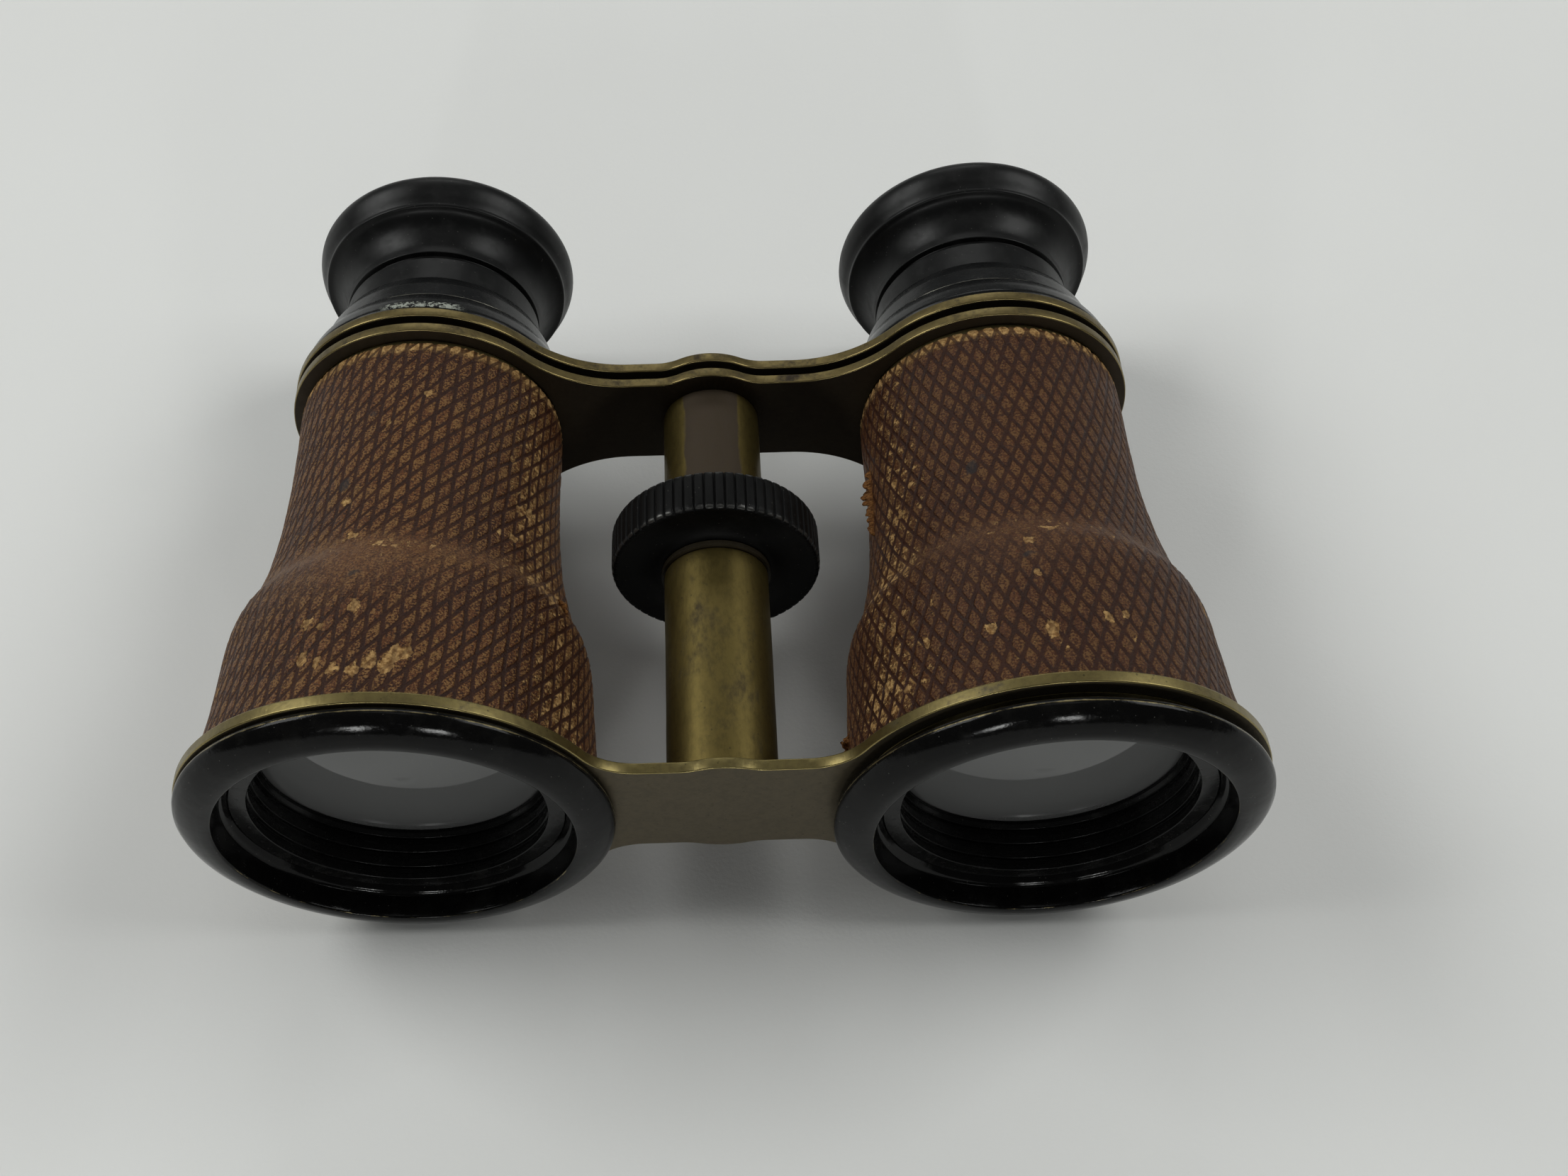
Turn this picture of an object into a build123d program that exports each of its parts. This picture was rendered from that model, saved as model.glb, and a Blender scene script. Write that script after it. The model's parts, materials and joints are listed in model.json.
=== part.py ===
from build123d import *
import os
from math import asin, atan2, cos, hypot, sin, sqrt

# Opera glasses: two leather-covered brass telescopes joined by three bridge plates, with a
# knurled wheel on the centre column that runs both eyepieces in and out together.
#
# They lie on a table on the rings of the front bridge and the rims of the eyecups, so the two
# optical axes tip slightly down toward the eyepieces.
# +X runs from one telescope to the other, +Y toward the eyepieces, +Z up from the table.
# All sizes are millimetres. A "station" is a distance along the optical axes from the mean plane
# of the objective lips, and grows toward the eyepieces.

# ---------------------------------------------------------------- layout
axis_spacing = 64.0          # between the two optical axes
fit_gap = 0.05               # radial clearance of pieces that slide or are screwed together
face_gap = 0.05              # clearance between end faces that meet

# ---------------------------------------------------------------- barrels and leather
leather_thickness = 0.6
brass_wall = 0.8
barrel_front = 3.3
barrel_rear = 55.1
leather_front = 4.5
leather_rear = 53.3
drum_radius = 20.2           # over the leather at the front bridge
neck_radius = 14.9           # over the leather where it meets the rear bridge
neck_start = 40.0            # the barrel is a plain tube from here to the rear bridge
# (radius, station) of the leather between the drum front and the neck
shoulder = [(19.5, 9.5), (19.1, 15.0), (18.6, 20.5), (16.9, 25.0), (15.6, 31.0)]
drum_taper = 0.2             # inward lean of the drum's wall at its front, per unit of length
socket_radius = 18.3         # mouth of the barrel, takes the bezel
socket_depth = 4.7

# ---------------------------------------------------------------- bridges
bridge_thickness = 1.2
front_bridge_front = 3.3
rear_bridge_front = 53.9
moving_bridge_front = 56.2
front_ring_radius = 21.4
rear_ring_radius = 15.9
front_waist = 7.3            # half height of the web beside the column
rear_waist = 6.1
front_bump = 8.0             # radius of the swelling over the column
rear_bump = 7.6
front_ring_fillet = 6.0
rear_ring_fillet = 15.0
bump_fillet = 6.0

# ---------------------------------------------------------------- objective bezels and optics
bezel_stagger = 0.53         # one bezel is screwed in further than the other, by twice this
lip_inner_radius = 17.5
lip_outer_radius = 18.4
rim_radius = 21.35           # largest radius of the rolled rim
rim_station = 1.75           # behind the lip
rim_shoulder = (20.75, 0.55) # (radius, distance behind the lip) of a point on the rolled rim
rim_back = 2.45
rim_back_radius = 21.05
rim_neck_radius = 20.1
rim_neck_end = 2.7
bezel_spigot_end = 7.0
cell_radius = 16.35
cell_front = 3.2
cell_rear = 17.0
baffle_radius = 14.6
baffle_pitch = 1.7
baffle_depth = 0.7
baffle_count = 3
baffle_first = 0.6           # first groove's place behind the cell's front, in pitches
lens_seat_front = 8.8
lens_aperture = 14.3
objective_radius = 15.3
crown_front_curve = 62.0
crown_rear_curve = 46.0
crown_edge = 1.5
cement_gap = 0.05
flint_centre = 1.1
retainer_bore = 13.9
retainer_length = 1.8

# ---------------------------------------------------------------- centre column
front_tube_radius = 5.6
rear_tube_radius = 5.45
tube_wall = 0.7
flange_radius = 5.9
flange_thickness = 0.6
bushing_length = 5.0
wheel_radius = 11.3
wheel_front = 32.1
wheel_thickness = 4.9
wheel_edge_break = 0.35
wheel_gap = 0.15             # running gap between each wheel face and its flange
ridge_count = 64
groove_depth = 0.4
groove_width = 0.42
nut_radius = 4.15
screw_radius = 3.0
thread_clearance = 0.08
travel_out = 11.0            # from rest to fully racked out
stop_radius = 4.6
stop_length = 2.0
cap_radius = 4.4
cap_height = 1.7
cap_edge_round = 0.7
cap_slot_width = 0.8
cap_slot_depth = 0.6

# ---------------------------------------------------------------- eyepieces
draw_tube_wall = 0.6
draw_tube_front = 35.0
collar_foot_radius = 15.6
collar_foot_length = 0.5     # plain edge of the foot
# (radius, distance behind the foot's front) of the rounded foot, then of the steps above it
collar_foot_bulge = (15.15, 2.0)
collar_steps = [(14.2, 3.7), (13.95, 3.95), (13.35, 6.5), (13.0, 6.8), (12.5, 8.2)]
collar_rear_radius = 12.1
collar_rear = 66.1
collar_bore = 9.0
neck_of_cup_radius = 11.5
cup_groove_radius = 10.9
cup_groove_station = 69.9
cup_groove_width = 0.9
cup_groove_slope = 0.2       # length of the groove's sloping sides
trumpet_waist = (12.2, 2.6)  # (radius, distance behind the groove) on the flare
trumpet_radius = 14.3        # where the flare meets the front of the rim
trumpet_end = 0.5            # and how far in front of the rim that is
cup_rim_radius = 15.42
cup_rim_station = 78.6
cup_rim_front = 76.5
cup_rim_front_radius = 14.75
cup_rim_rear_radius = 14.5
cup_crest_radius = 14.0      # rearmost ring of the rim
cup_crest_round = 0.1        # fall of the crest toward the rim
dish_radius = 13.3           # mouth of the eye dish
dish_fall = 0.3              # its depth below the crest
dish_middle = (10.3, 3.4)    # (radius, depth) half way down the dish
cup_rear = 80.2
cup_spigot_front = 60.0
cup_bore = 8.05
eye_aperture = 7.3
eye_seat = 73.9
eye_aperture_length = 1.3
eye_lens_edge = 3.2
eye_lens_curve = 26.0
eye_lens_rear_curve = 40.0
eye_retainer_length = 1.5
eye_retainer_bore = 6.9

# ---------------------------------------------------------------- resting attitude
# Seen from the side, the glasses stand on the sharp rear edge of the front bridge's rings and on
# the rounded rims of the eyecups. The line that touches both from below is the table.
cup_bead = 0.9               # radius of the eyecup rim's section
foot_station = front_bridge_front + bridge_thickness
reach = cup_rim_station - foot_station
drop = front_ring_radius - (cup_rim_radius - cup_bead)
tilt = atan2(drop, reach) - asin(cup_bead / hypot(reach, drop))
axis_height = front_ring_radius * cos(tilt) + foot_station * sin(tilt)
mid_station = 39.44          # half way along the glasses as they lie

toward_eyes = Vector(0, cos(tilt), -sin(tilt))
upward = Vector(0, sin(tilt), cos(tilt))
lip_centre = Vector(0, -mid_station, axis_height)
sides = {"left": -1, "right": 1}


def axis_point(x, station):
    """Point on the line parallel to the optical axes at lateral distance x."""
    return lip_centre + Vector(x, 0, 0) + toward_eyes * station


def turning_plane(x):
    """Plane through an axis: local x is the radius, local y the station."""
    return Plane(origin=axis_point(x, 0), x_dir=(1, 0, 0), z_dir=upward)


def cross_plane(station):
    """Plane across the axes at a station, facing the eyepieces."""
    return Plane(origin=axis_point(0, station), x_dir=(1, 0, 0), z_dir=toward_eyes)


def turning_axis(x):
    return Axis(axis_point(x, 0), toward_eyes)


def sagitta(curve, radius):
    """Depth of a spherical lens face of a given curve at a given rim radius."""
    return curve - sqrt(curve**2 - radius**2)


def save(builder, name):
    """Write one named piece as its own STEP file."""
    builder.part.label = name
    export_step(builder.part, f"parts/{name}.step")


def ring(x, inner, outer, front, rear):
    """Plain turned ring or tube between two stations."""
    with BuildPart() as turned:
        with BuildSketch(turning_plane(x)):
            with Locations(((inner + outer) / 2, (front + rear) / 2)):
                Rectangle(outer - inner, rear - front)
        revolve(axis=turning_axis(x))
    return turned


def bridge(front, ring_radius, waist, bump, ring_fillet, barrel_hole, screw_hole=None):
    """Flat plate with a ring round each telescope and a web that swells over the column."""
    centres = [(-axis_spacing / 2, 0), (axis_spacing / 2, 0)]
    with BuildPart() as plate:
        with BuildSketch(cross_plane(front)) as outline:
            with Locations(*centres):
                Circle(ring_radius)
            Rectangle(axis_spacing, 2 * waist)
            fillet(outline.vertices(), ring_fillet)
            Circle(bump)
            crossing = sqrt(bump**2 - waist**2) + fit_gap
            fillet(outline.vertices().filter_by_position(Axis.X, -crossing, crossing), bump_fillet)
            with Locations(*centres):
                Circle(barrel_hole, mode=Mode.SUBTRACT)
            if screw_hole:
                Circle(screw_hole, mode=Mode.SUBTRACT)
        extrude(amount=bridge_thickness)
    return plate


os.makedirs("parts", exist_ok=True)

# ================================================================ the two telescopes
barrel_bore = neck_radius - leather_thickness - fit_gap - brass_wall
brass_offset = leather_thickness + fit_gap
drum_brass = drum_radius - brass_offset

for side, sign in sides.items():
    x = sign * axis_spacing / 2
    lip = -sign * bezel_stagger

    # Brass barrel: a wide front drum, a shoulder and a plain rear tube.
    with BuildPart() as barrel:
        with BuildSketch(turning_plane(x)):
            with BuildLine():
                Line((socket_radius, barrel_front), (drum_brass, barrel_front))
                Line((drum_brass, barrel_front), (drum_brass, leather_front))
                Spline(
                    (drum_brass, leather_front),
                    *[(radius - brass_offset, station) for radius, station in shoulder],
                    (neck_radius - brass_offset, neck_start),
                    tangents=((-drum_taper, 1), (0, 1)),
                )
                Line((neck_radius - brass_offset, neck_start), (neck_radius - brass_offset, barrel_rear))
                Line((neck_radius - brass_offset, barrel_rear), (barrel_bore, barrel_rear))
                Line((barrel_bore, barrel_rear), (barrel_bore, neck_start))
                Spline(
                    (barrel_bore, neck_start),
                    *[
                        (radius - brass_offset - brass_wall, station)
                        for radius, station in reversed(shoulder[1:])
                    ],
                    (socket_radius, barrel_front + socket_depth),
                    tangents=((0, -1), (drum_taper, -1)),
                )
                Line((socket_radius, barrel_front + socket_depth), (socket_radius, barrel_front))
            make_face()
        revolve(axis=turning_axis(x))
    save(barrel, f"barrel_{side}")

    # Leather sleeve drawn over the barrel between the front and rear bridges.
    with BuildPart() as leather:
        with BuildSketch(turning_plane(x)):
            with BuildLine():
                for offset in (0, leather_thickness):
                    Spline(
                        (drum_radius - offset, leather_front),
                        *[(radius - offset, station) for radius, station in shoulder],
                        (neck_radius - offset, neck_start),
                        tangents=((-drum_taper, 1), (0, 1)),
                    )
                    Line((neck_radius - offset, neck_start), (neck_radius - offset, leather_rear))
                Line((drum_radius, leather_front), (drum_radius - leather_thickness, leather_front))
                Line((neck_radius, leather_rear), (neck_radius - leather_thickness, leather_rear))
            make_face()
        revolve(axis=turning_axis(x))
    save(leather, f"leather_{side}")

    # Objective bezel: flat lip, rolled rim with a sharp back edge, and a spigot in the barrel.
    spigot_radius = socket_radius - fit_gap
    with BuildPart() as bezel:
        with BuildSketch(turning_plane(x)):
            with BuildLine():
                Line((lip_inner_radius, lip), (lip_outer_radius, lip))
                ThreePointArc(
                    (lip_outer_radius, lip),
                    (rim_shoulder[0], lip + rim_shoulder[1]),
                    (rim_radius, lip + rim_station),
                )
                Polyline(
                    (rim_radius, lip + rim_station),
                    (rim_back_radius, lip + rim_back),
                    (rim_neck_radius, lip + rim_back),
                    (rim_neck_radius, lip + rim_neck_end),
                    (spigot_radius, lip + rim_neck_end),
                    (spigot_radius, lip + bezel_spigot_end),
                    (cell_radius + fit_gap, lip + bezel_spigot_end),
                    (cell_radius + fit_gap, lip + cell_front),
                    (lip_inner_radius, lip),
                )
            make_face()
        revolve(axis=turning_axis(x))
    save(bezel, f"objective_bezel_{side}")

    # Objective cell: ribbed light baffle in front, then the seat of the cemented lens pair.
    with BuildPart() as cell:
        with BuildSketch(turning_plane(x)):
            with BuildLine():
                Polyline(
                    (baffle_radius, lip + cell_front),
                    (cell_radius, lip + cell_front),
                    (cell_radius, lip + cell_rear),
                    (objective_radius + fit_gap, lip + cell_rear),
                    (objective_radius + fit_gap, lip + lens_seat_front),
                    (lens_aperture, lip + lens_seat_front),
                    (lens_aperture, lip + lens_seat_front - baffle_depth / 2),
                    (baffle_radius, lip + lens_seat_front - baffle_depth),
                    close=True,
                )
            make_face()
            for rib in range(baffle_count):
                with Locations((baffle_radius, lip + cell_front + baffle_pitch * (rib + baffle_first))):
                    Rectangle(baffle_depth, baffle_pitch / 2, mode=Mode.SUBTRACT)
        revolve(axis=turning_axis(x))
    save(cell, f"objective_cell_{side}")

    # Crown lens: both faces bulge outward, the front one resting on the edge of the aperture.
    bulge = sagitta(crown_front_curve, objective_radius) - sagitta(crown_front_curve, lens_aperture)
    crown_front = lip + lens_seat_front + bulge + face_gap
    crown_rear = crown_front + crown_edge
    with BuildPart() as crown:
        with BuildSketch(turning_plane(x)):
            with BuildLine():
                vertex_front = crown_front - sagitta(crown_front_curve, objective_radius)
                vertex_rear = crown_rear + sagitta(crown_rear_curve, objective_radius)
                RadiusArc((0, vertex_front), (objective_radius, crown_front), -crown_front_curve)
                Line((objective_radius, crown_front), (objective_radius, crown_rear))
                RadiusArc((objective_radius, crown_rear), (0, vertex_rear), -crown_rear_curve)
                Line((0, vertex_rear), (0, vertex_front))
            make_face()
        revolve(axis=turning_axis(x))
    save(crown, f"objective_crown_{side}")

    # Flint lens: hollow front face cemented to the crown, flat rear face.
    flint_edge_front = crown_rear + cement_gap
    flint_vertex = vertex_rear + cement_gap
    flint_rear = flint_vertex + flint_centre
    with BuildPart() as flint:
        with BuildSketch(turning_plane(x)):
            with BuildLine():
                RadiusArc((objective_radius, flint_edge_front), (0, flint_vertex), -crown_rear_curve)
                Line((0, flint_vertex), (0, flint_rear))
                Line((0, flint_rear), (objective_radius, flint_rear))
                Line((objective_radius, flint_rear), (objective_radius, flint_edge_front))
            make_face()
        revolve(axis=turning_axis(x))
    save(flint, f"objective_flint_{side}")

    # Ring screwed in behind the lens pair.
    retainer_front = flint_rear + face_gap
    save(
        ring(x, retainer_bore, objective_radius, retainer_front, retainer_front + retainer_length),
        f"objective_retainer_{side}",
    )

    # Draw tube: fixed in the moving bridge, slides in the rear of the barrel.
    draw_radius = barrel_bore - fit_gap
    moving_bridge_rear = moving_bridge_front + bridge_thickness
    save(
        ring(x, draw_radius - draw_tube_wall, draw_radius, draw_tube_front, moving_bridge_rear),
        f"draw_tube_{side}",
    )

    # Stepped collar that narrows from the moving bridge to the eyecup.
    collar_front = moving_bridge_rear + face_gap
    foot_end = (collar_foot_radius, collar_front + collar_foot_length)
    bulge_radius, bulge_reach = collar_foot_bulge
    steps = [(radius, collar_front + reach) for radius, reach in collar_steps]
    with BuildPart() as collar:
        with BuildSketch(turning_plane(x)):
            with BuildLine():
                Line((collar_bore, collar_front), (collar_foot_radius, collar_front))
                Line((collar_foot_radius, collar_front), foot_end)
                ThreePointArc(foot_end, (bulge_radius, collar_front + bulge_reach), steps[0])
                Polyline(
                    *steps,
                    (collar_rear_radius, collar_rear),
                    (collar_bore, collar_rear),
                    (collar_bore, collar_front),
                )
            make_face()
        revolve(axis=turning_axis(x))
    save(collar, f"eyepiece_collar_{side}")

    # Eyecup: spigot in the collar, plain neck, groove, flared trumpet, rolled rim and eye dish.
    cup_front = collar_rear + face_gap
    cup_spigot_radius = collar_bore - fit_gap
    groove_end = cup_groove_station + cup_groove_width
    flare_end = (trumpet_radius, cup_rim_front - trumpet_end)
    rim_start = (cup_rim_front_radius, cup_rim_front)
    rim_end = (cup_rim_rear_radius, cup_rear - cup_crest_round)
    dish_mouth = (dish_radius, cup_rear - dish_fall)
    dish_floor = (eye_aperture, eye_seat + eye_aperture_length)
    with BuildPart() as eyecup:
        with BuildSketch(turning_plane(x)):
            with BuildLine():
                Polyline(
                    (cup_bore, cup_spigot_front),
                    (cup_spigot_radius, cup_spigot_front),
                    (cup_spigot_radius, cup_front),
                    (neck_of_cup_radius, cup_front),
                    (neck_of_cup_radius, cup_groove_station),
                    (cup_groove_radius, cup_groove_station + cup_groove_slope),
                    (cup_groove_radius, groove_end - cup_groove_slope),
                    (neck_of_cup_radius, groove_end),
                )
                Spline(
                    (neck_of_cup_radius, groove_end),
                    (trumpet_waist[0], groove_end + trumpet_waist[1]),
                    flare_end,
                    tangents=((0, 1), (0.9, 0.45)),
                )
                Line(flare_end, rim_start)
                ThreePointArc(rim_start, (cup_rim_radius, cup_rim_station), rim_end)
                ThreePointArc(rim_end, (cup_crest_radius, cup_rear), dish_mouth)
                ThreePointArc(dish_mouth, (dish_middle[0], cup_rear - dish_middle[1]), dish_floor)
                Polyline(
                    dish_floor,
                    (eye_aperture, eye_seat),
                    (cup_bore, eye_seat),
                    (cup_bore, cup_spigot_front),
                )
            make_face()
        revolve(axis=turning_axis(x))
    save(eyecup, f"eyecup_{side}")

    # Eye lens: hollow on both faces, which makes a Galilean telescope upright.
    eye_radius = cup_bore - fit_gap
    eye_rear = eye_seat - face_gap
    eye_front = eye_rear - eye_lens_edge
    with BuildPart() as eye_lens:
        with BuildSketch(turning_plane(x)):
            with BuildLine():
                eye_vertex_front = eye_front + sagitta(eye_lens_curve, eye_radius)
                eye_vertex_rear = eye_rear - sagitta(eye_lens_rear_curve, eye_radius)
                RadiusArc((eye_radius, eye_front), (0, eye_vertex_front), -eye_lens_curve)
                Line((0, eye_vertex_front), (0, eye_vertex_rear))
                RadiusArc((0, eye_vertex_rear), (eye_radius, eye_rear), -eye_lens_rear_curve)
                Line((eye_radius, eye_rear), (eye_radius, eye_front))
            make_face()
        revolve(axis=turning_axis(x))
    save(eye_lens, f"eye_lens_{side}")

    # Ring that holds the eye lens against its seat.
    eye_retainer_rear = eye_front - face_gap
    save(
        ring(x, eye_retainer_bore, eye_radius, eye_retainer_rear - eye_retainer_length, eye_retainer_rear),
        f"eye_lens_retainer_{side}",
    )

# ================================================================ bridge plates
front_bridge = bridge(
    front_bridge_front,
    front_ring_radius,
    front_waist,
    front_bump,
    front_ring_fillet,
    drum_brass + fit_gap,
)
save(front_bridge, "front_bridge")

screw_bore = screw_radius + thread_clearance
rear_bridge = bridge(
    rear_bridge_front,
    rear_ring_radius,
    rear_waist,
    rear_bump,
    rear_ring_fillet,
    neck_radius - brass_offset + fit_gap,
    screw_bore,
)
save(rear_bridge, "rear_bridge")

# The moving bridge carries both eyepieces. The focus screw is clamped in its middle.
eyepiece_bridge = bridge(
    moving_bridge_front,
    rear_ring_radius,
    rear_waist,
    rear_bump,
    rear_ring_fillet,
    draw_radius + fit_gap,
    screw_radius + fit_gap,
)
save(eyepiece_bridge, "eyepiece_bridge")

# ================================================================ centre column
front_flange_rear = wheel_front - wheel_gap
front_flange_front = front_flange_rear - flange_thickness
rear_flange_front = wheel_front + wheel_thickness + wheel_gap
rear_flange_rear = rear_flange_front + flange_thickness
front_bridge_rear = front_bridge_front + bridge_thickness

save(
    ring(
        0,
        front_tube_radius - tube_wall,
        front_tube_radius,
        front_bridge_rear + face_gap,
        front_flange_front - face_gap,
    ),
    "column_front_tube",
)
save(
    ring(
        0,
        rear_tube_radius - tube_wall,
        rear_tube_radius,
        rear_flange_rear + face_gap,
        rear_bridge_front - face_gap,
    ),
    "column_rear_tube",
)


def bushing(flange_front, flange_rear, body_front, body_rear, body_radius):
    """Flanged bearing that closes a column tube and carries one end of the focus nut."""
    bore = nut_radius + fit_gap
    with BuildPart() as bearing:
        with BuildSketch(turning_plane(0)):
            for outer, front, rear in (
                (flange_radius, flange_front, flange_rear),
                (body_radius, body_front, body_rear),
            ):
                with Locations(((bore + outer) / 2, (front + rear) / 2)):
                    Rectangle(outer - bore, rear - front)
        revolve(axis=turning_axis(0))
    return bearing


front_bush_radius = front_tube_radius - tube_wall - fit_gap
rear_bush_radius = rear_tube_radius - tube_wall - fit_gap
save(
    bushing(
        front_flange_front,
        front_flange_rear,
        front_flange_front - bushing_length,
        front_flange_rear,
        front_bush_radius,
    ),
    "front_bushing",
)
save(
    bushing(
        rear_flange_front,
        rear_flange_rear,
        rear_flange_front,
        rear_flange_rear + bushing_length,
        rear_bush_radius,
    ),
    "rear_bushing",
)

# Focus nut: long sleeve pressed through the wheel, turning in both bushings.
nut_front = front_flange_front - bushing_length
nut_rear = rear_flange_rear + bushing_length
save(ring(0, screw_bore, nut_radius, nut_front, nut_rear), "focus_nut")

# Focus wheel: flat disc with broken edges and straight ridges round the rim.
with BuildPart() as focus_wheel:
    with BuildSketch(cross_plane(wheel_front)):
        Circle(wheel_radius)
        Circle(nut_radius + fit_gap, mode=Mode.SUBTRACT)
    extrude(amount=wheel_thickness)
    rim_edges = focus_wheel.edges().filter_by(GeomType.CIRCLE).filter_by(lambda e: e.radius > nut_radius * 2)
    chamfer(rim_edges, wheel_edge_break)
    with BuildSketch(cross_plane(wheel_front)):
        with PolarLocations(wheel_radius, ridge_count):
            Rectangle(2 * groove_depth, groove_width)
    extrude(amount=wheel_thickness, mode=Mode.SUBTRACT)
save(focus_wheel, "focus_wheel")

# Focus screw: fixed to the moving bridge, drawn along by the nut.
stop_rear = nut_front - travel_out - face_gap
screw_front = stop_rear - stop_length
save(ring(0, 0, screw_radius, screw_front, moving_bridge_rear + cap_height / 2), "focus_screw")

# Collar on the screw's front end that stops the eyepieces at full reach.
save(ring(0, screw_radius + fit_gap, stop_radius, screw_front, stop_rear), "screw_stop")

# Round slotted cap nut that clamps the screw to the moving bridge.
with BuildPart() as screw_cap:
    with BuildSketch(cross_plane(moving_bridge_rear + face_gap)):
        Circle(cap_radius)
    extrude(amount=cap_height)
    fillet(screw_cap.faces().sort_by(Axis((0, 0, 0), tuple(toward_eyes)))[-1].edges(), cap_edge_round)
    with BuildSketch(cross_plane(moving_bridge_rear)):
        Circle(screw_radius + fit_gap)
    extrude(amount=cap_height / 2 + 2 * face_gap, mode=Mode.SUBTRACT)
    with BuildSketch(cross_plane(moving_bridge_rear + face_gap + cap_height - cap_slot_depth)):
        Rectangle(2 * cap_radius, cap_slot_width)
    extrude(amount=cap_slot_depth, mode=Mode.SUBTRACT)
save(screw_cap, "screw_cap")
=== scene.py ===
import json
import math

import bmesh
import bpy
import numpy as np
from mathutils import Matrix, Vector, noise


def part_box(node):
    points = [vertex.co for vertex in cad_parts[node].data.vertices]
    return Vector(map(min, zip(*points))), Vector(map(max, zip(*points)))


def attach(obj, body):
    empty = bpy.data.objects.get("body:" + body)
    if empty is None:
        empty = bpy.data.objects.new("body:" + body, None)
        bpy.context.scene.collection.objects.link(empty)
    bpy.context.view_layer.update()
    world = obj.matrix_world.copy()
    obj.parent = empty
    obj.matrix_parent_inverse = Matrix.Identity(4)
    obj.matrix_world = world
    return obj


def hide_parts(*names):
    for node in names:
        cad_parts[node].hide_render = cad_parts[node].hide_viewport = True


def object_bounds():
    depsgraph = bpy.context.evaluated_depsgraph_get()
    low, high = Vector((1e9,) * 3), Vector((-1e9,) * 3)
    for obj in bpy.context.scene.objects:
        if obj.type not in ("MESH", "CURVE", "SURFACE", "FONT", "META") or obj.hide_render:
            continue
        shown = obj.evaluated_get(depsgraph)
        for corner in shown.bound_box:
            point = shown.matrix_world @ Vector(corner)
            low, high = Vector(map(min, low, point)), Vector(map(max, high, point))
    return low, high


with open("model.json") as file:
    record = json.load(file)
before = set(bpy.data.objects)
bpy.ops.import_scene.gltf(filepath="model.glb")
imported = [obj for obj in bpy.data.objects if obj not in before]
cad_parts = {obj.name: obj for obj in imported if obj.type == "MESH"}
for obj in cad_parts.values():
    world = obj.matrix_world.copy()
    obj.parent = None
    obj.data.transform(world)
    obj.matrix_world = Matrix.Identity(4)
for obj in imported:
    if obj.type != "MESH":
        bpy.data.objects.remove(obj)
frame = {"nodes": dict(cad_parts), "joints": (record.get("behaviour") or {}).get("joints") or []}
cad_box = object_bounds()

# Vintage opera glasses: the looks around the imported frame. Scene units are metres. Shapes are
# written in millimetres in the optical frame: x from one telescope to the other, y along the
# optical axes toward the eyepieces ("station", 0 at the mean plane of the objective lips), z up.
MM = 0.001

# ---------------- optical frame, from the record
focus = next(j for j in frame["joints"] if j["name"] == "focus_turn")
WHEEL_MIDDLE = 34.55                     # station of the focus joint
toward_eyes = -Vector(focus["axis"])
sideways = Vector((1, 0, 0))
upward = sideways.cross(toward_eyes)
lip_centre = Vector(focus["pos_m"]) - toward_eyes * WHEEL_MIDDLE * MM
OPTICAL = Matrix((sideways, toward_eyes, upward)).transposed().to_4x4()
OPTICAL.translation = lip_centre
barrel_low, barrel_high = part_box("barrel_right")
AXIS_X = (barrel_low.x + barrel_high.x) / 2 / MM
SIDES = {"left": -1, "right": 1}

# ---------------- driving sizes, as in the CAD
LIP_STAGGER = 0.53                       # left bezel screwed in further, right one less
SLEEVE_FRONT, SLEEVE_REAR = 4.5, 53.3
SLEEVE = [(4.5, 20.2), (9.5, 19.5), (15.0, 19.1), (20.5, 18.6), (25.0, 16.9), (31.0, 15.6),
          (40.0, 14.9), (53.3, 14.9)]    # (station, radius) over the leather
LEATHER_THICK = 0.55
BRASS_INSET = 0.65
BARREL_FRONT, BARREL_REAR = 3.3, 55.1
BARREL_WALL = 0.8
SOCKET_RADIUS, SOCKET_END = 18.3, 8.0
PLATE_THICK = 1.2
FRONT_PLATE, REAR_PLATE, MOVING_PLATE = 3.3, 53.9, 56.2
WHEEL_FRONT, WHEEL_BACK, WHEEL_RADIUS, RIDGES = 32.1, 37.0, 11.3, 64
COLLAR_FRONT, COLLAR_REAR = MOVING_PLATE + PLATE_THICK + 0.05, 66.1


# ================ mesh helpers
def smooth_curve(knots, steps):
    """Points of a smooth curve through knots, which may be unevenly spaced."""
    knots = np.array(knots, float)
    ends = [2 * knots[0] - knots[1], *knots, 2 * knots[-1] - knots[-2]]
    out = []
    for before, start, end, after in zip(ends, ends[1:], ends[2:], ends[3:]):
        spans = ((before, start), (start, end), (end, after))
        lengths = [math.sqrt(np.linalg.norm(q - p)) for p, q in spans]
        t0, t1 = 0.0, lengths[0]
        t2 = t1 + lengths[1]
        t3 = t2 + lengths[2]
        for t in np.linspace(t1, t2, steps, endpoint=False):
            a = (before * (t1 - t) + start * (t - t0)) / (t1 - t0)
            b = (start * (t2 - t) + end * (t - t1)) / (t2 - t1)
            c = (end * (t3 - t) + after * (t - t2)) / (t3 - t2)
            ab = (a * (t2 - t) + b * (t - t0)) / (t2 - t0)
            bc = (b * (t3 - t) + c * (t - t1)) / (t3 - t1)
            out.append((ab * (t2 - t) + bc * (t - t1)) / (t2 - t1))
    out.append(knots[-1])
    return np.array(out)


sleeve_line = smooth_curve(SLEEVE, 24)


def sleeve_radius(station):
    """Radius over the leather at a station."""
    return np.interp(station, sleeve_line[:, 0], sleeve_line[:, 1])


def bend(knots, steps):
    """Unworn corners, as rounded() takes them, along a smooth curve through (radius, station) knots."""
    return [(radius, station, 0, 0) for radius, station in smooth_curve(knots, steps)]


def shifted(corners, distance):
    """The same corners further along the axis."""
    return [(radius, station + distance, cut, worn) for radius, station, cut, worn in corners]


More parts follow.
